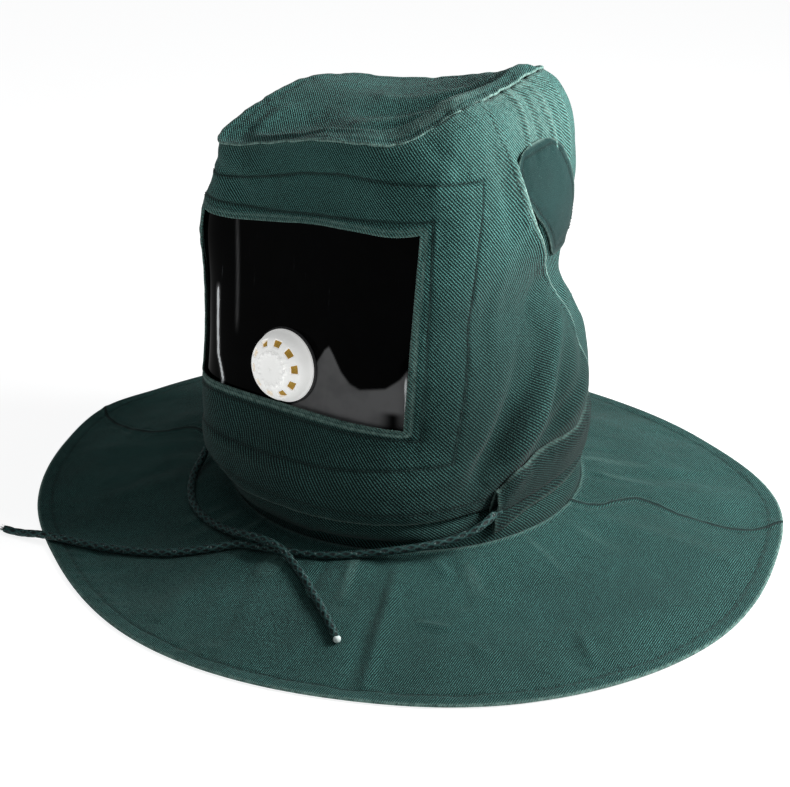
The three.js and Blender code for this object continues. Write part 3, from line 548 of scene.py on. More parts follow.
def bulge(angle, share):
    """The film springs out at the upper left, and pushes the cloth out with it."""
    return 0.006 * hump(angle + 56, 11) * hump(share - 0.76, 0.1)


def overhang(angle, share):
    """Over the band at both sides the cloth swells out by 6 mm."""
    side = abs(turn_between(0, angle))
    return 0.006 * hump(side - 114, 24) * hump(share - 0.35, 0.085)


def front_relief(angle, share):
    """Everything that the front panel adds to the wall, and its worn paleness, dark seams, painted shade and
    painted highlights.
    """
    u, v = flat_place(angle, share)
    outer, _ = from_line(unrolled(outer_frame), u, v)
    inner, _ = from_line(unrolled(inner_frame), u, v)
    hem = abs(share - hem_share - hem_stitch / hood_height) * hood_height
    window = window_gap(angle, share)
    rear = arc(edge_angle(share) - abs(angle))
    creased = creases(front_creases, u, v)
    lift = creased + crumple(u, v, 11) * smooth(0, 0.02, window)
    lift = lift + sewn(outer, u, v, 0.0008, 21) + sewn(inner, u, v, 0.0008, 23)
    lift = lift + sewn(hem, u, v, 0.0006, 25) + sewn(abs(rear - edge_stitch), u, v, 0.0005, 27)
    lift = lift + 0.0007 * smooth(0.0025, 0, window) + 0.0006 * smooth(0.014, 0.011, window)
    lift = lift * smooth(0, 0.02, 1.02 - share) + pucker(angle, share)
    under_band = smooth(62, 70, abs(angle)) * smooth(0.29, 0.26, share)
    lift = lift * (1 - 0.85 * under_band) + bulge(angle, share) + overhang(angle, share)
    top = (1 - share) * hood_height
    sill = 1 + smooth(window_low, window_low - 0.01, share)
    wear_and_light = (sill * (0.4 * hump(window, 0.0018) + 0.3 * hump(window - 0.0045, 0.0012))
            + (0.8 * hump(rear, 0.0014) + 0.3 * hump(rear, 0.006)) * smooth(0.9, 0.82, share)
            + 0.25 * hump(share * hood_height - front_hem, 0.0012) + 0.12 * hump(top, 0.006)
            # pale on the crease ridges: worn, and also a painted highlight on the lit folds
            + 0.3 * smooth(0.001, 0.005, creased)
            # painted highlight on the upper right flank, where the light falls
            + 0.16 * hump(angle - 86, 24) * smooth(0.75, 0.95, share)
            # painted shade: the lower right flank is painted darker
            - 0.36 * smooth(45, 62, angle) * smooth(0.78, 0.6, share)
            - 0.8 * hump(outer, 0.0013) - 0.85 * hump(inner, 0.0014) - 0.6 * hump(hem, 0.0012))
    return lift, wear_and_light


def front_place(angle, share, extra=0.0):
    return wall_point(angle, share, upper_layer + extra + front_relief(angle, share)[0])


shares = np.concatenate([
    np.linspace(hem_share, window_low, 56)[:-1], np.linspace(window_low, window_high, 76)[:-1],
    np.linspace(window_high, top_share, 50)])
rows, flank, across = shares[:, None], np.linspace(0, 1, 82), np.linspace(0, 1, 62)
left_flank = mix(-edge_angle(rows), window_left, flank[:-1])
right_flank = mix(window_end(rows), edge_angle(rows), flank[1:])
front_angles = np.hstack([left_flank, mix(window_left, window_end(rows), across), right_flank])
front_shares = np.broadcast_to(rows, front_angles.shape)
middle_of = lambda grid: (grid[:-1, :-1] + grid[1:, 1:]) / 2
open_window = window_gap(middle_of(front_angles), middle_of(front_shares)) < 0
_, front_wear = front_relief(front_angles, front_shares)
front_cloth = mesh_piece(
    "front_panel", front_place(front_angles, front_shares),
    grid_faces(*front_angles.shape, keep=~open_window),
    cloth_map(front_angles, front_shares), front_wear, "hood_front")
thicken(front_cloth, cloth_wall * 0.8)
print("front panel:", len(front_cloth.data.polygons), "cells")

# %% [markdown]
# ## Back panel, ear slots and ear flaps
#
# The back panel is lapped under the front panel. A slot is cut beside the lap, so that
# the wearer can hear, and a flap of finer cloth with a rounded top covers it.

# %% Back panel
slot_low = ear_low + 0.007 / hood_height
slot_high = slot_low + 0.072 / hood_height
slot_wide, lap_wide = degrees_of(0.013), degrees_of(0.012)
lap_cells, slot_cells, back_low = 5, 8, 0.187
back_creases = [
    (95, 1.02, 90, 0.86, 3, 3.4), (101, 1.02, 99, 0.84, 3.5, -3.2), (107, 1.02, 108, 0.84, 3, 3.4),
    (113, 1.02, 112, 0.85, 3.5, -2.8), (120, 1.02, 118, 0.82, 4, 2.8), (128, 0.55, 122, 0.4, 6, 2),
    (135, 0.5, 150, 0.3, 8, -2.4), (150, 0.8, 160, 0.55, 9, 2), (172, 0.7, 185, 0.4, 9, -2.2),
    (200, 0.85, 190, 0.6, 8, 1.8), (215, 0.6, 230, 0.35, 8, 2), (235, 0.85, 225, 0.6, 7, -2),
    (250, 0.98, 256, 0.9, 4, 2), (262, 0.98, 264, 0.9, 4, -1.8), (125, 0.3, 160, 0.22, 7, 1.6),
    (180, 0.3, 230, 0.24, 8, -1.6), (130, 0.66, 135, 0.5, 6, -1.8),
]


def back_relief(angle, share):
    u, v = flat_place(angle, share)
    seam, creased = arc(abs(turn_between(180, angle))), creases(back_creases, u, v)
    lift = creased + crumple(u, v, 31, 0.0013) + sewn(seam, u, v, 0.0009, 33)
    from_lap = np.minimum(angle - edge_angle(share), 360 - edge_angle(share) - angle)
    lift = lift * smooth(0, 9, from_lap) * smooth(0, 0.02, 1.015 - share)
    lift = lift * smooth(0.25, 0.3, share) + overhang(angle, share)
    wear_and_light = 0.35 * hump(seam, 0.002) + 0.2 * smooth(0.001, 0.004, creased)
    # painted highlight on the rear puff at the upper right, where the light falls
    wear_and_light = wear_and_light + 0.26 * hump(turn_between(101, angle), 22) * smooth(0.72, 0.92, share)
    return lift, wear_and_light + 0.3 * hump((1 - share) * hood_height, 0.004)


shares = np.concatenate([
    np.linspace(back_low, slot_low, 70)[:-1], np.linspace(slot_low, slot_high, 36)[:-1],
    np.linspace(slot_high, top_share, 30)])
rows = shares[:, None]
edge = edge_angle(rows)
spaced = lambda start, end, cells: mix(start, end, np.linspace(0, 1, cells + 1))
back_angles = np.hstack([
    spaced(edge - lap_wide, edge, lap_cells)[:, :-1],
    spaced(edge, edge + slot_wide, slot_cells)[:, :-1],
    spaced(edge + slot_wide, 360 - edge - slot_wide, 189),
    spaced(360 - edge - slot_wide, 360 - edge, slot_cells)[:, 1:],
    spaced(360 - edge, 360 - edge + lap_wide, lap_cells)[:, 1:]])
back_shares = np.broadcast_to(rows, back_angles.shape)
from_edge = np.arange(back_angles.shape[1] - 1)
from_edge = np.minimum(from_edge, from_edge[::-1])
beside_lap = (from_edge >= lap_cells) & (from_edge < lap_cells + slot_cells)
slot_rows = middle_of(back_shares)[:, 0]
slot_rows = (slot_rows > slot_low) & (slot_rows < slot_high)
back_lift, back_wear = back_relief(back_angles, back_shares)
back_cloth = mesh_piece(
    "back_panel", wall_point(back_angles, back_shares, back_lift),
    grid_faces(*back_angles.shape, keep=~(slot_rows[:, None] & beside_lap)),
    cloth_map(back_angles, back_shares), back_wear, "hood_back")
thicken(back_cloth, cloth_wall)
print("back panel:", len(back_cloth.data.polygons), "cells")

# %% Ear flaps
flap_wide, flap_tall, flap_wall = 0.084, 0.097, 0.0015
flap_border, flap_off = 0.0065, 0.0009  # to the stitches, and off the wall
ear_outline = table("height front rear", [
    (0, 0.22, 0.8), (0.3, 0.19, 0.93), (0.52, 0.1, 0.99), (0.7, 0.0, 0.99), (0.85, 0.045, 0.93),
    (0.92, 0.12, 0.85), (0.97, 0.21, 0.74), (1, 0.36, 0.58)])


def ear_flap(side):
    """Height runs up the flap and t across it, between its front and rear outline. The
    border outside the stitching is a little lower, and the middle swells by 1 mm."""
    name = "ear_flap_cloth_" + ("right" if side > 0 else "left")
    height = 1 - (1 - np.linspace(0, 1, 70)[:, None]) ** 1.5
    t = np.linspace(0, 1, 60)
    share = np.broadcast_to(mix(ear_low, ear_high, height), (70, 60))
    ends = [curve(ear_outline.height, ear_outline[c], height) * flap_wide for c in ("front", "rear")]
    out = mix(ends[0], ends[1], t if side > 0 else t[::-1])
    angle = side * (edge_angle(share) + degrees_of(out))
    border = np.minimum.reduce([out - ends[0] + 0 * out, ends[1] - out,
                                (1 - height) * flap_tall + 0 * out, height * flap_tall + 0 * out])
    u, v = flat_place(angle, share)
    lift = 0.001 * smooth(0.005, 0.02, border) + sewn(abs(border - flap_border), u, v, 0.0006, 41)
    lift = lift + 0.5 * crumple(u, v, 43) - 0.0003 * hump(border, 0.0012)
    wear_and_light = 0.4 * hump(border, 0.0014) - 0.7 * hump(border - flap_border, 0.001)
    points = wall_point(angle, share, flap_off + flap_wall + np.clip(lift, -0.0004, None))
    node = "ear_flap_right" if side > 0 else "ear_flap_left"
    flap = mesh_piece(name, points, grid_faces(70, 60), np.stack([u, v], -1), wear_and_light, node)
    return thicken(flap, flap_wall)


flaps = [ear_flap(side) for side in (1, -1)]
print("ear flaps:", [flap.name for flap in flaps])

# %% [markdown]
# ## Crown
#
# The top panel is sewn on with its raw seam allowance standing out, a pale wavy rim.
# Inside the rim the cloth lies nearly level, then sags towards the middle. A fold runs
# from the front to the right rear corner, where the cloth puffs up.

# %% Crown
crown_wall, crown_lip, crown_sag, crown_half = 0.0018, 0.003, 0.009, 0.12
crown_flat, crown_stitch, crown_count = 0.857, 0.945, 131


def crown_place(angle, out):
    """out runs from 0 in the middle to 1 at the rim: z = mix(middle, rim, (out/flat)^1.7)
    up to flat and level past it, with a ridge parallel to the front and a long fold."""
    outwards = np.stack([np.sin(np.radians(angle)), -np.cos(np.radians(angle)), 0 * angle], -1)
    rim = wall_line(angle, np.ones_like(angle))
    u, v = np.radians(angle) * crown_half, crown_half * out
    wavy = 0.0009 * cloth_noise(u, 0 * u, 0.012, 51) + 0.0005 * cloth_noise(u, 0 * u, 0.005, 52)
    rim = rim + outwards * (upper_layer + crown_lip + wavy)[..., None]
    middle = neck + [drift[0], drift[1], hood_height - crown_sag]
    point = middle + (rim - middle) * out[..., None]
    slope = np.clip(out / crown_flat, 0, 1) ** 1.7
    x, y = point[..., 0] - middle[0], point[..., 1] - middle[1]
    ridge = 0.0036 * hump(out - 0.78, 0.05) * smooth(100, 30, abs(turn_between(10, angle)))
    dish = -0.004 * hump(out - 0.5, 0.16) * smooth(120, 40, abs(turn_between(0, angle)))
    fold, _ = from_line([(0.0, -0.045), (0.045, 0.0), (0.085, 0.06)], x, y)
    hollow, _ = from_line([(-0.02, -0.005), (0.04, 0.04)], x, y)
    small, _ = from_line([(-0.03, 0.03), (0.0, 0.045), (0.05, 0.09)], x, y)
    corner = 0.006 * hump(turn_between(62, angle), 26) * hump(out - 0.8, 0.16)
    lift = (ridge + dish + corner + 0.004 * hump(fold, 0.012) - 0.004 * hump(hollow, 0.016)
            + 0.003 * hump(small, 0.012))
    lift = lift + 1.6 * crumple(x, y, 53) + sewn(abs(out - crown_stitch) * crown_half, u, v, 0.0008, 55)
    lift = lift * smooth(1.02, 0.93, out) + 0.0006 * cloth_noise(u, 0 * u, 0.009, 57) * smooth(0.9, 1, out)
    point[..., 2] = mix(middle[2], rim[..., 2], slope) + lift
    wear_and_light = 0.7 * smooth(0.991, 1, out) - 0.4 * hump(out - crown_stitch, 0.008)
    wear_and_light = wear_and_light + 0.15 * hump(fold, 0.004) + 0.12 * smooth(0.0028, 0.0036, ridge) + 0.1 * hump(small, 0.004)
    # painted highlight on the crown's right rear corner, where the light falls
    wear_and_light = wear_and_light + 0.32 * hump(turn_between(60, angle), 25) * hump(out - 0.85, 0.14)
    return point, wear_and_light


side = np.linspace(-1, 1, crown_count)
grid_u, grid_v = np.meshgrid(side, side)
crown_out = np.maximum(abs(grid_u), abs(grid_v))
crown_angle = np.degrees(np.arctan2(grid_u, -grid_v))
crown_points, crown_wear = crown_place(crown_angle, crown_out)
crown_cloth = mesh_piece("crown_cloth", crown_points, grid_faces(crown_count, crown_count),
                         crown_points[..., :2], crown_wear, "crown_panel")
thicken(crown_cloth, crown_wall)
print("crown:", len(crown_cloth.data.polygons), "cells")

# %% [markdown]
# ## Neck and cape
#
# Under the front panel's hem a short strip leads to the cape. In front it rolls over in
# a soft fold. The cape is a shallow cone that lies flat at its rim: its height falls
# with the power 1.25 of the way out, down to the thickness of a double-turned hem.

# %% Neck strip
neck_roll, roll_middle, roll_half = 0.0035, 0.0488, 0.0093
band_mouths, strip_high = (-70.0, 67.0), 0.182
neck_folds = [(36, 0.036, 60, 0.056, 0.004, 0.0024), (40, 0.033, 63, 0.050, 0.0035, -0.0022),
              (-30, 0.044, 5, 0.039, 0.004, 0.0016)]


def neck_relief(angle, share):
    z = share * hood_height
    u, v = flat_place(angle, share)
    in_front = smooth(band_mouths[0], -35, angle) * smooth(band_mouths[1], 33, angle)
    roll = neck_roll * np.clip(1 - ((z - roll_middle) / roll_half) ** 2, 0, 1) * in_front
    pleats = 0.0009 * in_front * cloth_noise(u, 0.3 * v, 0.012, 61) * hump(z - 0.046, 0.009)
    crease = -0.0014 * in_front * hump(z - 0.0385, 0.0035)
    folded = [lift * hump(from_line([(arc(a0), z0), (arc(a1), z1)], u, z)[0], wide)
              for a0, z0, a1, z1, wide, lift in neck_folds]
    return roll + pleats + crease + sum(folded)


strip_share = np.linspace((neck_rise - neck_blend) / hood_height, strip_high, 44)[:, None]
strip_angle = np.linspace(-180, 180, 311)[None]
strip_angle, strip_share = np.broadcast_arrays(strip_angle, strip_share)
strip = mesh_piece(
    "neck_cloth", wall_point(strip_angle, strip_share, neck_relief(strip_angle, strip_share)),
    grid_faces(*strip_angle.shape), cloth_map(strip_angle, strip_share),
    None, "neck_strip")
thicken(strip, cloth_wall)

# %% Cape
cape_reach, cape_inner, hem_width, hem_wall = 0.325, 0.1519, 0.014, 0.0032
hem_start = 1 - hem_width / (cape_reach - cape_inner)
rim_stitch, shoulder_stitch = hem_width * 0.9, 0.006
cape_rim = table("angle reach", [
    (-150, 0.905), (-122, 0.975), (-96, 1.025), (-86, 1.062), (-72, 1.037), (-52, 1.003),
    (-32, 0.966), (-5, 0.975), (25, 0.98), (50, 1.015), (80, 1.031), (104, 1.006),
    (124, 1.004), (148, 0.92), (177, 0.868)])
shoulder_right = table("out angle", [
    (0, 100), (0.13, 103), (0.21, 109), (0.3, 113), (0.5, 111.7), (0.62, 111.2), (0.8, 112),
    (0.9, 114.2), (1, 117)])
shoulder_left = table("out angle", [
    (0, -65), (0.15, -71.5), (0.28, -77.5), (0.36, -79), (0.5, -76.2), (0.62, -76.6),
    (0.78, -79.5), (0.91, -82.5), (1, -85.5)])
cape_waves = table("angle out turn span lift", [
    (20, 0.55, 14, 0.3, 0.1), (62, 0.5, 12, 0.35, -0.09), (96, 0.55, 12, 0.35, 0.12),
    (-40, 0.5, 14, 0.3, -0.1), (-80, 0.55, 10, 0.35, 0.12), (150, 0.5, 16, 0.35, 0.1),
    (-130, 0.5, 16, 0.35, -0.08)])
cape_creases = [
    (90, -135, 162, -290, 6, 2.6), (82, -140, 150, -290, 8, -2.2), (140, -184, 168, -176, 3.5, 1.8),
    (186, -180, 214, -182, 5, 1.6), (244, -112, 278, -143, 4.5, 2.2), (236, -120, 268, -152, 6, -1.4),
    (105, -118, 142, -128, 6, 2.2), (120, -112, 165, -150, 8, -2.4), (-25, -170, 24, -290, 9, -2),
    (-45, -175, -30, -290, 10, 1.6), (40, -165, 55, -215, 6, -1.8), (60, -160, 84, -205, 6, 1.6),
    (180, 20, 300, 60, 12, 1.8), (150, 90, 230, 200, 10, -1.8), (-180, -60, -290, -110, 10, 1.6),
    (-170, -90, -240, -190, 10, -1.8), (0, 170, 10, 270, 12, 1.8), (-120, 120, -200, 200, 12, -1.8),
]


def right_seam(out):
    return curve(shoulder_right.out, shoulder_right.angle, out)


def left_seam(out):
    return curve(shoulder_left.out, shoulder_left.angle, out)


def in_metres(ends):
    return np.array(ends) / 1000


def cape_top(angle, out):
    """z = hem + (neck - hem) s^1.25 + waves 4s(1 - s), where s is 1 at the neck and 0
    at the hem."""
    share = np.clip(1 - out / hem_start, 0, 1)
    wave = sum(w.lift * neck_rise * hump(turn_between(w.angle, angle), w.turn)
               * hump(out - w.out, w.span) for w in cape_waves)
    return hem_wall + (neck_rise - hem_wall) * share ** 1.25 + wave * 4 * share * (1 - share)


def cape_place(angle, out, extra=0.0):
    """The cape's upper face with its hem, seams, puckers and small creases."""
    reach = cape_reach * around(cape_rim, "reach", angle)
    radius = mix(cape_inner, reach, out)
    s, c = np.sin(np.radians(angle)), np.cos(np.radians(angle))
    x, y = radius * s, -radius * c
    turns = [abs(turn_between(seam(out), angle)) for seam in (right_seam, left_seam)]
    seam = np.radians(np.minimum(*turns)) * radius
    rim = (1 - out) * (reach - cape_inner)
    collar = out * (reach - cape_inner)
    inside = smooth(0, 0.03, rim) * smooth(0, 0.02, collar)
    lift = (1.3 * crumple(x, y, 71) + creases(cape_creases, x, y, in_metres)) * inside
    radial = cloth_noise(np.radians(angle) * 0.3, 0.25 * radius, 0.016, 73)
    lift = lift + 0.0007 * radial * smooth(0.1, 0.0, collar) * smooth(0, 0.006, collar)
    lift = lift + sewn(rim - rim_stitch, x, y, 0.0006, 75) * smooth(0, 0.004, rim)
    lift = lift + sewn(abs(seam - shoulder_stitch), x, y, 0.0006, 77) * smooth(0, 0.01, rim)
    lift = lift + 0.0009 * hump(seam, 0.0032) + 0.0009 * hump(collar - 0.002, 0.002)
    lift = lift - 0.0011 * smooth(0.0022, 0, rim)
    z = cape_top(angle, out) + np.clip(lift, -0.0013, None) + extra
    wear_and_light = 0.6 * hump(rim, 0.0016) - 0.4 * hump(rim - rim_stitch, 0.0014) - 1.3 * hump(seam, 0.0017)
    wear_and_light = wear_and_light + 0.1 * hump(seam - 0.0035, 0.001) + 0.2 * hump(collar - 0.002, 0.0012)
    wear_and_light = wear_and_light + 0.12 * smooth(0.3, 0.9, radial) * smooth(0.09, 0, collar)
    return np.stack([x, y, z], -1) + neck, wear_and_light


def cape_piece(name, count, start, end, node):
    """Out runs from the neck to the rim, and t from one shoulder seam to the other."""
    out = np.concatenate([np.linspace(0, hem_start, 84)[:-1], np.linspace(hem_start, 1, 12)])
    out, slack = out[:, None], 0.02
    angle = mix(start(out) + slack, end(out) - slack, np.linspace(0, 1, count))
    out = np.broadcast_to(out, angle.shape)
    points, wear_and_light = cape_place(angle, out)
    faces = grid_faces(*angle.shape)[:, ::-1]
    piece = mesh_piece(name, points, faces, points[..., :2], wear_and_light, node)
    print(name, len(piece.data.polygons), "cells")
    return thicken(piece, cloth_wall)


cape_front = cape_piece("cape_front_cloth", 370, left_seam, right_seam, "cape_front")
cape_back = cape_piece("cape_back_cloth", 320, right_seam, lambda out: left_seam(out) + 360, "cape_back")

# %% [markdown]
# ## Neck band
#
# The cord's channel is a folded strip, sewn flat to the wall along its top edge. Cut
# across, it is half an ellipse that holds the cord. Its front ends hang a little lower
# and stop in an upright stitched edge, where the cord comes out.

# %% Neck band
band_wall, cord_ease, band_dip, band_dip_turn = 0.0013, 0.0013, 0.007, 7
band_low, band_high = 0.047, 0.093
band_deep = cord_diameter + cord_ease + band_wall
band_stitch, mouth_stitch, mouth_turn, band_points = 0.004, 0.0045, 1.85, 56
over_lap, over_back = 0.0042, 0.0024


def band_bottom(angle):
    """Level, with a bell-shaped dip at each mouth."""
    dip = sum(hump(turn_between(mouth, angle), band_dip_turn) for mouth in band_mouths)
    return band_low - band_dip * dip


def band_upper(angle):
    """Level, and drawn down at each mouth."""
    return band_high - 0.016 * sum(hump(turn_between(mouth, angle), 5) for mouth in band_mouths)


def band_close(angle):
    """Distance from the wall: over the front panel's lap, then straight on the back."""
    return mix(over_lap, over_back, smooth(118, 130, angle) * smooth(244, 232, angle))


def band_place(angle, round_it, inset=0.0):
    """A loop round the channel: from 0 to 0.5 up the outside and from 0.5 to 1 down the
    inside. Across, it is half an ellipse: flat on the wall side, bulging outside."""
    low, high = band_bottom(angle) + inset, band_upper(angle) - inset
    turn = 2 * np.pi * round_it
    c, s = np.cos(turn), np.sin(turn)
    up = -np.sign(c) * abs(c) ** (2 / 2.4)
    out = np.clip(s, 0, 1) ** (2 / 1.9)
    deep = band_deep - 2 * inset
    lean = hump(turn_between(band_mouths[1], angle), 8) - hump(turn_between(band_mouths[0], angle), 8)
    straight, angle = angle, angle - 2.5 * (1 - up) * lean
    u, v = arc(angle), mix(low, high, (up + 1) / 2)
    share = v / hood_height
    lift = inset + deep * out + band_close(angle)
    mouth = arc(np.minimum(straight - band_mouths[1], band_mouths[0] + 360 - straight))
    sewn_in = (sewn(abs(high - v - band_stitch), u, v, 0.0008, 81)
               + sewn(abs(v - low - band_stitch), u, v, 0.0006, 83)
               + sewn(abs(mouth - mouth_stitch), u, v, 0.0008, 85))
    soft = (sewn_in + 0.8 * crumple(u, v, 87)) * smooth(0.02, 0.2, out)
    wear_and_light = 0.3 * hump(mouth, 0.0012) + 0.2 * hump(high - v, 0.001) + 0.15 * hump(v - low, 0.001)
    return wall_point(angle, share, lift + np.clip(soft, -0.001, 0.0015)), np.stack([u, v], -1), wear_and_light


band_angle = np.linspace(band_mouths[1], band_mouths[0] + 360, 330)[:, None]
band_loop = np.linspace(0, 1, band_points, endpoint=False)[None]
band_angle, band_loop = np.broadcast_arrays(band_angle, band_loop)
outside, band_uv, band_wear = band_place(band_angle, band_loop)
inside, _, _ = band_place(band_angle, band_loop, band_wall)
size = band_angle.size
outer_faces = grid_faces(*band_angle.shape, close=True)[:, ::-1]
inner_faces = grid_faces(*band_angle.shape, close=True) + size
k = np.arange(band_points)
near, last = (k + 1) % band_points, size - band_points
start_rim = np.stack([k, near, near + size, k + size], 1)
end_rim = np.stack([last + k + size, last + near + size, last + near, last + k], 1)
band = mesh_piece(
    "neck_band_cloth", np.concatenate([outside.reshape(-1, 3), inside.reshape(-1, 3)]),
    np.concatenate([outer_faces, inner_faces, start_rim, end_rim]),
    np.concatenate([band_uv.reshape(-1, 2)] * 2), np.concatenate([band_wear.ravel()] * 2), "neck_band")
print("neck band:", len(band.data.polygons), "cells")

# %% Cord in the channel
channel_angles = np.linspace(band_mouths[1] + 0.12, band_mouths[0] + 360 - 0.12, 60)
mouth_dip = sum(hump(turn_between(mouth, channel_angles), 2 * band_dip_turn) for mouth in band_mouths)
channel_share = (band_level + band_height / 2 - 0.0065 * mouth_dip) / hood_height
channel = wall_point(channel_angles, channel_share, band_close(channel_angles) + band_deep / 2)
back_cord, _, _ = braid("cord_in_band", (channel - neck) * 1000, "drawcord_back")

# %% [markdown]
# ## Visor and breathing valve
#
# The window is a thin clear sheet. It looks black, because almost no light gets out of
# the hood behind it, so it is painted near black as painted shade, with a gloss and fine
# scratches. A grey painted reflection lies on its lower half, with painted glints. The
# valve is a moulded cap with ten vents, an ochre filter behind them and a thin rubber seal.

# %% Visor
# painted reflection: below this wavy line the sheet is painted grey
reflection_top = table("angle share", [
    (-55, 0.36), (-9, 0.365), (-4, 0.385), (1.5, 0.466), (7, 0.519), (9, 0.529), (11, 0.514),
    (15, 0.478), (19, 0.456), (23, 0.448), (32.5, 0.461), (37.5, 0.484), (40, 0.504), (50, 0.51)])
behind_up, behind_aside = 0.033, 4.5  # how far the film runs on behind the cloth
visor_share = np.linspace(window_low - behind_up, window_high + behind_up, 150)[:, None]
visor_angle = mix(window_left - behind_aside, window_end(visor_share) + behind_aside, np.linspace(0, 1, 170))
visor_share = np.broadcast_to(visor_share, visor_angle.shape)
painted_reflection = smooth(0.004, -0.004, visor_share - np.interp(visor_angle, reflection_top.angle, reflection_top.share))
painted_reflection = painted_reflection * (1 - hump(visor_angle - 35, 3.5) * smooth(0.415, 0.4, visor_share))
# painted glints: bright streaks painted on the sheet
glint = np.interp(visor_share, [0.38, 0.44, 0.5, 0.61], [-37, -40, -41, -42])
painted_reflection = painted_reflection + 3 * hump(visor_angle - glint + 0.8, 0.5) * smooth(0.63, 0.6, visor_share)
painted_reflection = painted_reflection + 1.2 * hump(visor_angle - 39.4, 0.4) * smooth(0.5, 0.47, visor_share)
painted_reflection = painted_reflection + 0.5 * hump(visor_angle + 36 - 9 * (0.7 - visor_share), 0.5) * smooth(0.5, 0.56, visor_share)
visor = mesh_piece(
    "visor_sheet", wall_point(visor_angle, visor_share, bulge(visor_angle, visor_share)),
    grid_faces(*visor_angle.shape), cloth_map(visor_angle, visor_share),
    painted_reflection, "visor")
thicken(visor, 0.0009)

# %% Valve
valve_radius, valve_depth = 0.030, 0.020
valve_angle, valve_high = -11.0, 0.165
tries = np.linspace(0.3, 0.6, 3001)
valve_share = tries[np.argmin(abs(wall_height(valve_angle, tries) - valve_high))]
seat = wall_line(valve_angle, valve_share)
turn, rise = degrees_of(valve_radius), valve_radius / hood_height
across = wall_line(valve_angle + turn, valve_share) - wall_line(valve_angle - turn, valve_share)
upwards = wall_line(valve_angle, valve_share + rise) - wall_line(valve_angle, valve_share - rise)
valve_axis = np.cross(across, upwards)
valve_axis /= np.linalg.norm(valve_axis)
valve_right = across / np.linalg.norm(across)
valve_up = np.cross(valve_axis, valve_right)
cap_low, cap_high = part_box("valve_cap")
cap_middle = (np.array(cap_low) + np.array(cap_high)) / 2
valve_base = float((cap_middle - seat) @ valve_axis) - valve_depth / 2
print("valve seat", np.round(seat, 4), "base %.4f" % valve_base)


def turned(name, profile, node, sides=180, keep=None, teeth=None):
    """A profile of (radius, height) spun round the valve's axis. teeth adds to the
    radius at each turn."""
    radius, height = np.asarray(profile, float).T
    turn = np.linspace(0, 2 * np.pi, sides, endpoint=False)
    r = radius[:, None] + (0 if teeth is None else teeth(turn[None], height[:, None]))
    h = np.broadcast_to(height[:, None], (len(height), sides))
    points = (seat + (h + valve_base)[..., None] * valve_axis + (r * np.cos(turn))[..., None] * valve_right
              + (r * np.sin(turn))[..., None] * valve_up)
    cells = None if keep is None else keep(turn, radius)
    faces = grid_faces(len(height), sides, keep=cells, close=True)
    uv = np.stack([np.broadcast_to(turn * 0.02, h.shape), h], -1)
    return mesh_piece(name, points, faces, uv, None, node)


cap_profile = np.array([
    (0.0255, 0.0002), (0.0288, 0), (0.0298, 0.0003), (0.03, 0.0008), (0.03, 0.002),
    (0.0297, 0.0027), (0.029, 0.0036), (0.0284, 0.0055), (0.0278, 0.0078), (0.0271, 0.0098),
    (0.0262, 0.0115), (0.0252, 0.0131), (0.0246, 0.0138), (0.0232, 0.0149), (0.0216, 0.0157),
    (0.0198, 0.01645), (0.0188, 0.0167), (0.0172, 0.01705), (0.0158, 0.0173), (0.015, 0.0175),
    (0.0147, 0.0178), (0.0146, 0.0182), (0.0145, 0.0193), (0.0143, 0.0198), (0.0138, 0.02),
    (0.0128, 0.02), (0.0123, 0.0199), (0.012, 0.0196), (0.0116, 0.0194), (0.008, 0.0194),
    (0.004, 0.0194), (0.00001, 0.0194)])
vents, vent_wide = 10, np.radians(19.5)


def cap_keep(turn, radius):
    """Cells of the ten vents are left open."""
    middle = turn + np.pi / len(turn)
    phase = (middle / (2 * np.pi) * vents - 0.25 + 0.5) % 1 - 0.5
    in_vent = abs(phase) * 2 * np.pi / vents < vent_wide / 2
    ring = (radius[:-1] < 0.0247) & (radius[1:] > 0.0187)
    return ~(ring[:, None] & in_vent[None])


def cap_teeth(turn, height):
    """Sixteen short teeth round the boss: a clipped cosine."""
    return 0.0007 * np.clip(3 * np.cos(16 * turn), -1, 1) * smooth(0.0176, 0.018, height) * smooth(
        0.0001, 0.0006, 0.0206 - height)


cap = turned("valve_cap_shell", cap_profile, "valve_cap", 240, cap_keep, cap_teeth)
thicken(cap, 0.0017)
filter_profile = [(0.0142, -0.006), (0.0142, 0.0006), (0.0244, 0.001), (0.0243, 0.004), (0.0226, 0.0098),
                  (0.0196, 0.0127), (0.0162, 0.0142), (0.011, 0.0152), (0.00001, 0.0158)]
valve_filter = turned("valve_filter_pad", filter_profile, "valve_filter", 120)
seal_low, seal_high = -0.0019, -0.0003
seal_profile = [(0.0144, seal_low), (0.0313, seal_low), (0.0316, seal_low + 0.0004),
                (0.0316, seal_high - 0.0004), (0.0313, seal_high), (0.0144, seal_high), (0.0144, seal_low)]
seal = turned("valve_seal_ring", seal_profile, "valve_seal", 120)
print("valve pieces:", cap.name, valve_filter.name, seal.name)

# %% [markdown]
# ## Stitches
#
# Machine stitches are short bits of thread that dip into the cloth at both ends. One
# stitch is a spindle of a few faces, and it is repeated along each sewn line with one
# numpy expression: a place, a direction and a normal for each stitch.

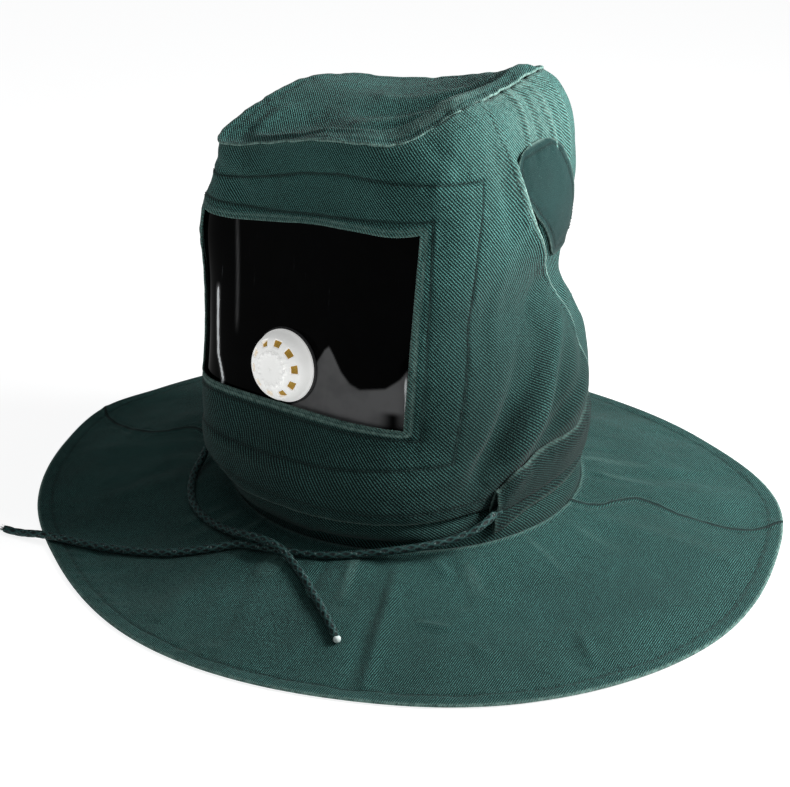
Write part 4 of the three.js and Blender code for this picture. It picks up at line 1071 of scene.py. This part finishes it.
# %% Stitches
def stitch_line(points, normals, pitch=0.0038, length=0.0027, thick=0.0005):
    """Spindles along a line on the cloth: at t from -1 to 1 the middle lies at
    height 0.9 (1 - t^2) thick and the radius is thick sqrt(1 - t^2) / 2."""
    travelled = np.concatenate([[0], np.cumsum(np.linalg.norm(np.diff(points, axis=0), axis=1))])
    centre = np.arange(pitch, travelled[-1] - pitch, pitch)
    pick = lambda at, values: np.stack([np.interp(at, travelled, values[:, k]) for k in range(3)], -1)
    middle, normal = pick(centre, points), pick(centre, normals)
    ahead = pick(centre + 0.001, points) - pick(centre - 0.001, points)
    ahead /= np.linalg.norm(ahead, axis=1, keepdims=True)
    aside = np.cross(ahead, normal)
    t = np.linspace(-1, 1, 5)[:, None]
    turn = np.linspace(0, 2 * np.pi, 5, endpoint=False)[None]
    bulge = np.sqrt(1.02 - t * t)
    local = np.stack([t * length / 2 + 0 * turn, bulge * thick / 2 * np.cos(turn),
                      bulge * thick / 2 * np.sin(turn) + 0.5 * (1 - t * t) * thick], -1)
    basis = np.stack([ahead, aside, normal], 1)
    shape = middle[:, None, None] + np.einsum("tkc,scx->stkx", local, basis)
    faces = grid_faces(5, 5, close=True)[None] + 25 * np.arange(len(centre))[:, None, None]
    return shape.reshape(-1, 3), faces.reshape(-1, 4)


def sew(name, lines):
    """One piece for all the stitches of several lines."""
    shapes, faces, before = [], [], 0
    for points, normals in lines:
        shape, quads = stitch_line(points, normals)
        shapes.append(shape)
        faces.append(quads + before)
        before += len(shape)
    piece = mesh_piece(name, np.concatenate(shapes), np.concatenate(faces))
    print(name, before // 25, "stitches")
    return piece


def dense(rows, step=0.0004):
    """A line of (angle, share) pairs, filled in evenly by its unrolled length."""
    rows = np.asarray(rows, float)
    flat = unrolled(rows)
    travelled = np.concatenate([[0], np.cumsum(np.hypot(*np.diff(flat, axis=0).T))])
    at = np.linspace(0, travelled[-1], int(travelled[-1] / step))
    return np.interp(at, travelled, rows[:, 0]), np.interp(at, travelled, rows[:, 1])


def on_front(rows):
    angle, share = dense(rows)
    return front_place(angle, share, 0.0002), wall_normal(angle, share)


edge_shares, hem_turns = np.linspace(0.2, 0.97, 60), np.linspace(-115, 115, 120)
free_edge = np.stack([edge_angle(edge_shares) - degrees_of(edge_stitch), edge_shares], 1)
front_hem_line = np.stack([hem_turns, np.full(120, hem_share + hem_stitch / hood_height)], 1)
front_stitches = sew("front_stitches", [
    on_front(rows) for rows in (outer_frame, inner_frame, free_edge, front_hem_line)])


def upright(count):
    return np.broadcast_to([0, 0, 1.0], (count, 3))


def on_cape(angle, out):
    return cape_place(angle, out, 0.0001)[0], upright(len(angle))


cape_turns = np.linspace(-180, 180, 3000)
rim_reach = cape_reach * around(cape_rim, "reach", cape_turns) - cape_inner
cape_lines = [on_cape(cape_turns, 1 - rim_stitch / rim_reach), on_cape(cape_turns, 0.0055 / rim_reach)]
seam_out = np.linspace(0.03, 0.9, 400)
beside = np.degrees(shoulder_stitch / mix(cape_inner, cape_reach, seam_out))
for seam in (right_seam, left_seam):
    cape_lines += [on_cape(seam(seam_out) + offset, seam_out) for offset in (beside, -beside)]
cape_stitches = sew("cape_stitches", cape_lines)

crown_turns = np.linspace(-180, 180, 2400)
crown_line, _ = crown_place(crown_turns, np.full(2400, crown_stitch))
crown_stitches = sew("crown_stitches", [(crown_line + [0, 0, 0.0001], upright(2400))])

band_turns = np.linspace(band_mouths[1] + 1, band_mouths[0] + 359, 1600)
band_middle = (band_low + band_high) / 2 / hood_height
band_lines = [(band_place(band_turns, np.full(1600, loop))[0], wall_normal(band_turns, band_middle))
              for loop in (0.40, 0.10)]
for mouth in (band_mouths[1] + mouth_turn, band_mouths[0] + 360 - mouth_turn):
    turns = np.full(200, mouth)
    band_lines.append((band_place(turns, np.linspace(0.07, 0.43, 200))[0], wall_normal(turns, 0.18)))
band_stitches = sew("band_stitches", band_lines)

flap_lines = []
height = np.linspace(0.09, 0.9, 60)
share = mix(ear_low, ear_high, height)
for side in (1, -1):
    for column, sign in (("rear", -1), ("front", 1)):
        out = curve(ear_outline.height, ear_outline[column], height) * flap_wide + sign * flap_border
        turns = side * (edge_angle(share) + degrees_of(out))
        lift = np.full(60, flap_off + flap_wall + 0.0002)
        flap_lines.append((wall_point(turns, share, lift), wall_normal(turns, share)))
flap_stitches = sew("flap_stitches", flap_lines)

# %% [markdown]
# ## Finishes
#
# Twill shows as fine slanting lines, because each thread passes over two and under one.
# The pattern is worked out from the cloth UV map in metres, so it keeps its real size:
# one line every two millimetres or less, broken into small dots. Wear, lint, slow changes
# of colour, painted shade and painted highlights lie over it.

# %% Node helpers
def new_finish(name, **sockets):
    """A Principled material with plain socket values. Underscores stand for spaces."""
    finish = bpy.data.materials.new(name)
    finish.use_nodes = True
    shader = finish.node_tree.nodes["Principled BSDF"]
    for socket, value in sockets.items():
        shader.inputs[socket.replace("_", " ")].default_value = value
    return finish, finish.node_tree, shader


def add_node(tree, kind, inputs=None, **settings):
    """A node, with its settings and with each input a value or another node's output."""
    node = tree.nodes.new("ShaderNode" + kind)
    for key, value in settings.items():
        setattr(node, key, value)
    for socket, value in (inputs or {}).items():
        if isinstance(value, bpy.types.NodeSocket):
            tree.links.new(value, node.inputs[socket])
        else:
            node.inputs[socket].default_value = value
    return node


def calc(tree, operation, *values):
    return add_node(tree, "Math", dict(enumerate(values)), operation=operation).outputs[0]


def blend_colours(tree, amount, first, second, how="MIX"):
    inputs = {0: amount, 6: first, 7: second}
    return add_node(tree, "Mix", inputs, data_type="RGBA", blend_type=how).outputs[2]


def shaded(tree, colour, value):
    """A colour times a grey value."""
    grey = add_node(tree, "CombineColor", {0: value, 1: value, 2: value}).outputs[0]
    return blend_colours(tree, 1.0, colour, grey, "MULTIPLY")


def noise(tree, place, scale, detail=3.0, rough=0.5):
    inputs = {"Vector": place, "Scale": scale, "Detail": detail, "Roughness": rough}
    return add_node(tree, "TexNoise", inputs).outputs[0]


def spread(tree, value, low, high, to_low=0.0, to_high=1.0):
    inputs = {0: value, 1: low, 2: high, 3: to_low, 4: to_high}
    return add_node(tree, "MapRange", inputs, interpolation_type="SMOOTHSTEP").outputs[0]


def in_space(tree):
    return add_node(tree, "TexCoord").outputs["Object"]


def on_cloth(tree):
    return add_node(tree, "UVMap", uv_map="cloth").outputs[0]


# The per-vertex attribute: worn paleness and dark seams, with painted shade and painted highlights on some
# pieces.
def wear_and_light_of(tree):
    return add_node(tree, "Attribute", attribute_name="wear_and_light").outputs["Fac"]


def paint(tree, shader, colour, height=None, strength=0.0, distance=0.0):
    """Links the colour and, where a height is given, a bump."""
    tree.links.new(colour, shader.inputs["Base Color"])
    if height is not None:
        bump = add_node(tree, "Bump", {"Strength": strength, "Distance": distance, "Height": height})
        tree.links.new(bump.outputs[0], shader.inputs["Normal"])


def two_tone(name, scale, first, second, **sockets):
    """A plain finish whose colour wanders between two."""
    finish, tree, shader = new_finish(name, **sockets)
    paint(tree, shader, blend_colours(tree, noise(tree, in_space(tree), scale), first, second))
    return finish


def dress(finish, *pieces):
    for piece in pieces:
        piece.data.materials.append(finish)


# %% Twill
teal, dark_teal = (0.095, 0.285, 0.255, 1), (0.0018, 0.0105, 0.0098, 1)
# Colours mixed in: pale for worn edges and painted highlights, dark for seams and painted shade.
pale_wear_and_highlight, dark_seam_and_shade, lint = (0.27, 0.42, 0.37, 1), (0.003, 0.012, 0.011, 1), (0.15, 0.28, 0.25, 1)


def twill(name, slant=42, period=0.0021, dotted=0.25, painted_neck_shade=False, line=teal, gap=dark_teal):
    """Line pattern sin(2 pi a) with a = (u cos s + v sin s) / period, broken into dots by
    a slower wave along the line. Worn paleness and painted highlights above 0 turn it pale,
    and dark seams and painted shade below 0 turn it dark. Painted shade darkens it towards the neck."""
    finish, tree, shader = new_finish(name, Roughness=0.88, Specular_IOR_Level=0.12,
                                      Sheen_Weight=0.05, Sheen_Roughness=0.5)
    place, space = on_cloth(tree), in_space(tree)
    split = add_node(tree, "SeparateXYZ", {0: place})
    c, s = np.cos(np.radians(slant)) / period, np.sin(np.radians(slant)) / period

    def slanted(of_u, of_v):
        second = calc(tree, "MULTIPLY", split.outputs[1], float(of_v))
        return calc(tree, "MULTIPLY_ADD", split.outputs[0], float(of_u), second)

    def wave(x):
        sine = calc(tree, "SINE", calc(tree, "MULTIPLY", x, 2 * np.pi))
        return calc(tree, "MULTIPLY_ADD", sine, 0.5, 0.5)

    wobble = calc(tree, "MULTIPLY", noise(tree, place, 90.0, 2.0), 0.5)
    a = calc(tree, "ADD", slanted(c, s), wobble)
    shifted = calc(tree, "MULTIPLY", calc(tree, "FLOOR", a), 0.5)
    b = calc(tree, "ADD", slanted(-s / 0.85, c / 0.85), shifted)
    dots = calc(tree, "MULTIPLY_ADD", wave(b), dotted, 1 - dotted)
    threads = spread(tree, noise(tree, place, 1500.0, 1.0), 0.3, 0.7, 0.5, 1.25)
    weave = calc(tree, "MULTIPLY", calc(tree, "MULTIPLY", wave(a), dots), threads)
    colour = blend_colours(tree, spread(tree, weave, 0.25, 0.95), gap, line)
    patches = spread(tree, noise(tree, space, 9.0, 4.0, 0.6), 0.3, 0.7, 0.82, 1.12)
    colour = shaded(tree, colour, patches)
    if painted_neck_shade:
        # painted shade: the colour darkens towards the neck, low on the hood
        height = add_node(tree, "SeparateXYZ", {0: space}).outputs[2]
        colour = shaded(tree, colour, spread(tree, height, 0.04, 0.33, 0.38, 1.0))
    wear_and_light = wear_and_light_of(tree)
    ragged = spread(tree, noise(tree, space, 260.0, 4.0, 0.7), 0.32, 0.68, 0.25, 1.0)
    # pale mixes in worn paleness and painted highlights, deep mixes in dark seams and painted shade
    pale = calc(tree, "MAXIMUM", calc(tree, "MULTIPLY", wear_and_light, ragged), 0.0)
    deep = calc(tree, "MAXIMUM", calc(tree, "MULTIPLY", wear_and_light, -1.0), 0.0)
    fluff = spread(tree, noise(tree, space, 900.0, 2.0, 0.6), 0.66, 0.78, 0.0, 0.5)
    for amount, over in ((pale, pale_wear_and_highlight), (deep, dark_seam_and_shade), (fluff, lint)):
        colour = blend_colours(tree, amount, colour, over)
    paint(tree, shader, colour, weave, 0.55, 0.0005)
    return finish


hood_twill = twill("hood_twill", painted_neck_shade=True)
crown_twill = twill("crown_twill", slant=45, period=0.0017, dotted=0.35)
cape_twill = twill("cape_twill", slant=8, period=0.0016, dotted=0.5, line=(0.074, 0.225, 0.203, 1))
# painted shade: the band's line colour is a darker copy of the hood twill, for the shade it sits in
band_twill = twill("band_twill", slant=66, period=0.0018, painted_neck_shade=True, line=(0.042, 0.145, 0.13, 1))
flap_cloth = twill("flap_cloth", period=0.0011, line=(0.013, 0.053, 0.05, 1), gap=(0.004, 0.02, 0.019, 1))
dress(hood_twill, front_cloth, back_cloth, strip)
dress(crown_twill, crown_cloth)
dress(cape_twill, cape_front, cape_back)
dress(band_twill, band)
dress(flap_cloth, *flaps)

# %% Thread and cord
thread = two_tone("thread", 400.0, (0.004, 0.016, 0.015, 1), (0.02, 0.06, 0.055, 1), Roughness=0.8)
dress(thread, front_stitches, cape_stitches, crown_stitches, band_stitches, flap_stitches)

cord_braid, tree, shader = new_finish("cord_braid", Roughness=0.75, Specular_IOR_Level=0.3)
space, crest = in_space(tree), wear_and_light_of(tree)
melted = spread(tree, crest, 1.4, 1.9)
fleck = spread(tree, noise(tree, space, 700.0, 2.0), 0.6, 0.68, 0.0, 0.6)
# painted shade: the troughs between strands are painted darker than the crests
strand = blend_colours(tree, crest, (0.002, 0.007, 0.007, 1), (0.016, 0.062, 0.058, 1))
strand = blend_colours(tree, fleck, strand, (0.17, 0.25, 0.24, 1))
# the melted tip turns pale: melted, and partly a painted highlight
strand = blend_colours(tree, melted, strand, (0.6, 0.68, 0.66, 1))
paint(tree, shader, strand, noise(tree, space, 2500.0, 2.0), 0.4, 0.0004)
tree.links.new(spread(tree, crest, 1.4, 1.9, 0.75, 0.25), shader.inputs["Roughness"])
dress(cord_braid, right_cord, left_cord, back_cord, frayed)

# %% Film
film, tree, shader = new_finish("film", Roughness=0.05, Specular_IOR_Level=0.015, IOR=1.45)
place, reflection_amount = on_cloth(tree), wear_and_light_of(tree)
stretched = add_node(tree, "Mapping", {"Vector": place, "Scale": (420.0, 14.0, 1.0)}).outputs[0]
scratch = spread(tree, noise(tree, stretched, 1.0, 3.0, 0.6), 0.68, 0.74)
patch = spread(tree, noise(tree, place, 28.0, 3.0), 0.45, 0.65)
scratch = calc(tree, "MULTIPLY", scratch, patch)
smear = spread(tree, noise(tree, place, 40.0, 4.0, 0.6), 0.4, 0.75, 0.0, 0.35)
# painted reflection: grey on the lower half of the sheet
reflected_grey = calc(tree, "MULTIPLY", reflection_amount, spread(tree, noise(tree, place, 30.0, 3.0), 0.3, 0.7, 0.75, 1.1))
# painted shade: the clear sheet is painted near black for the dark inside of the hood
dark = blend_colours(tree, smear, (0.0006, 0.0007, 0.0008, 1), (0.002, 0.0022, 0.0024, 1))
for amount, over in ((reflected_grey, (0.13, 0.13, 0.132, 1)),
                     # painted glints: near white where the value passes 1.1
                     (spread(tree, reflection_amount, 1.1, 1.8), (0.9, 0.93, 0.94, 1)),
                     (calc(tree, "MULTIPLY", scratch, 0.35), (0.07, 0.075, 0.08, 1))):
    dark = blend_colours(tree, amount, dark, over)
paint(tree, shader, dark)
tree.links.new(spread(tree, scratch, 0, 1, 0.06, 0.4), shader.inputs["Roughness"])
dress(film, visor)

# %% Valve plastics
# painted light: the white plastic glows faintly, as if brightly lit
white_with_painted_glow, tree, shader = new_finish("white_plastic_glowing", Roughness=0.38, IOR=1.46, Emission_Strength=0.34)
shader.inputs["Emission Color"].default_value = (1.0, 1.0, 0.98, 1)
space = in_space(tree)
grime = spread(tree, noise(tree, space, 60.0, 5.0, 0.65), 0.5, 0.75, 0.0, 0.35)
moulded = blend_colours(tree, grime, (0.9, 0.9, 0.88, 1), (0.7, 0.69, 0.65, 1))
paint(tree, shader, moulded, noise(tree, space, 500.0, 3.0), 0.1, 0.0003)
dress(white_with_painted_glow, cap)

ochre, tree, shader = new_finish("ochre_filter", Roughness=0.8)
grain = noise(tree, in_space(tree), 900.0, 4.0, 0.7)
fibrous = blend_colours(tree, grain, (0.32, 0.19, 0.02, 1), (0.72, 0.46, 0.08, 1))
paint(tree, shader, fibrous, grain, 0.5, 0.0004)
dress(ochre, valve_filter)

dress(two_tone("black_rubber", 300.0, (0.008, 0.008, 0.009, 1), (0.022, 0.022, 0.024, 1),
               Roughness=0.55, Specular_IOR_Level=0.4), seal)
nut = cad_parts["valve_nut"]
nut.data.materials.clear()
dress(two_tone("nut_plastic", 200.0, (0.8, 0.8, 0.78, 1), (0.7, 0.7, 0.67, 1), Roughness=0.45), nut)

# %% [markdown]
# ## Light and floor
#
# The photograph was taken in soft light from the right and above, on white. A pale
# floor that glows, like a light table, a soft box close by at the right rear and a weak
# lamp overhead give the same shading.

# %% Floor and lamps
half, below = 4.0, 0.0004
corners = [(-half, -half, 0), (half, -half, 0), (half, half, 0), (-half, half, 0)]
floor = bpy.data.objects.new("floor", bpy.data.meshes.new("floor"))
floor.data.from_pydata(corners, [], [(0, 1, 2, 3)])
bpy.context.scene.collection.objects.link(floor)
floor.location.z = -below
pale, tree, shader = new_finish("pale_floor", Roughness=0.9, Emission_Strength=0.84)
shader.inputs["Base Color"].default_value = (0.35, 0.35, 0.35, 1)
shader.inputs["Emission Color"].default_value = (1, 1, 1, 1)
dress(pale, floor)
floor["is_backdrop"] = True


def lamp(name, kind, towards_it, **settings):
    """A lamp that shines on the hood from this direction."""
    light = bpy.data.lights.new(name, kind)
    for key, value in settings.items():
        setattr(light, key, value)
    item = bpy.data.objects.new(name, light)
    bpy.context.scene.collection.objects.link(item)
    x, y, z = towards_it
    item.rotation_euler = (float(np.arctan2(np.hypot(x, y), z)), 0.0, float(np.arctan2(x, -y)))
    return item


lamp("top", "SUN", (0.1, 0.1, 1.0), energy=0.5, angle=np.radians(80))
soft_box_at, hood_middle = np.array([0.80, 0.40, 0.72]), [0.0, 0.0, 0.2]
soft_box = lamp("soft box", "AREA", soft_box_at - hood_middle, energy=23.5, size=0.45)
soft_box.location = soft_box_at
world = bpy.data.worlds.new("room")
world.use_nodes = True
sky = world.node_tree.nodes["Background"].inputs
sky["Color"].default_value, sky["Strength"].default_value = (0.92, 0.96, 1.0, 1), 0.14
bpy.context.scene.world = world
bpy.context.scene.view_settings.view_transform = "Standard"

# %% [markdown]
# ## Cloth sizes
#
# Each cloth is also printed with the size it was cut to. Width and length are rounded
# from the model, and the area is summed over the modelled surface itself. Those
# areas agree by construction, so they don't check how much cloth a piece takes.

def declare(piece, flat):
    """The area is the sum of the quads' areas, from their diagonals: |d1 x d2| / 2."""
    mesh = piece.data
    points, faces = np.empty(len(mesh.vertices) * 3), np.empty(len(mesh.loops), np.int32)
    mesh.vertices.foreach_get("co", points)
    mesh.loops.foreach_get("vertex_index", faces)
    a, b, c, d = points.reshape(-1, 3)[faces.reshape(-1, 4)].transpose(1, 0, 2)
    area = float(np.linalg.norm(np.cross(c - a, d - b), axis=1).sum() / 2)
    area = min(area, flat[0] * flat[1])
    print(piece.name, "flat", flat, "area %.4f" % area)


declare(front_cloth, (0.60, 0.34))
declare(back_cloth, (0.47, 0.34))
declare(crown_cloth, (0.24, 0.25))
declare(strip, (0.96, 0.042))
declare(cape_front, (0.68, 0.52))
declare(cape_back, (0.68, 0.40))
for flap in flaps:
    declare(flap, (0.09, 0.12))

# %% Sizes and finish
visual_box = [[float(x) for x in corner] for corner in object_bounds()]
grown = np.array(visual_box) - np.array(cad_box)
print("visual box less CAD box, mm:", np.round(grown * 1000, 1).tolist())
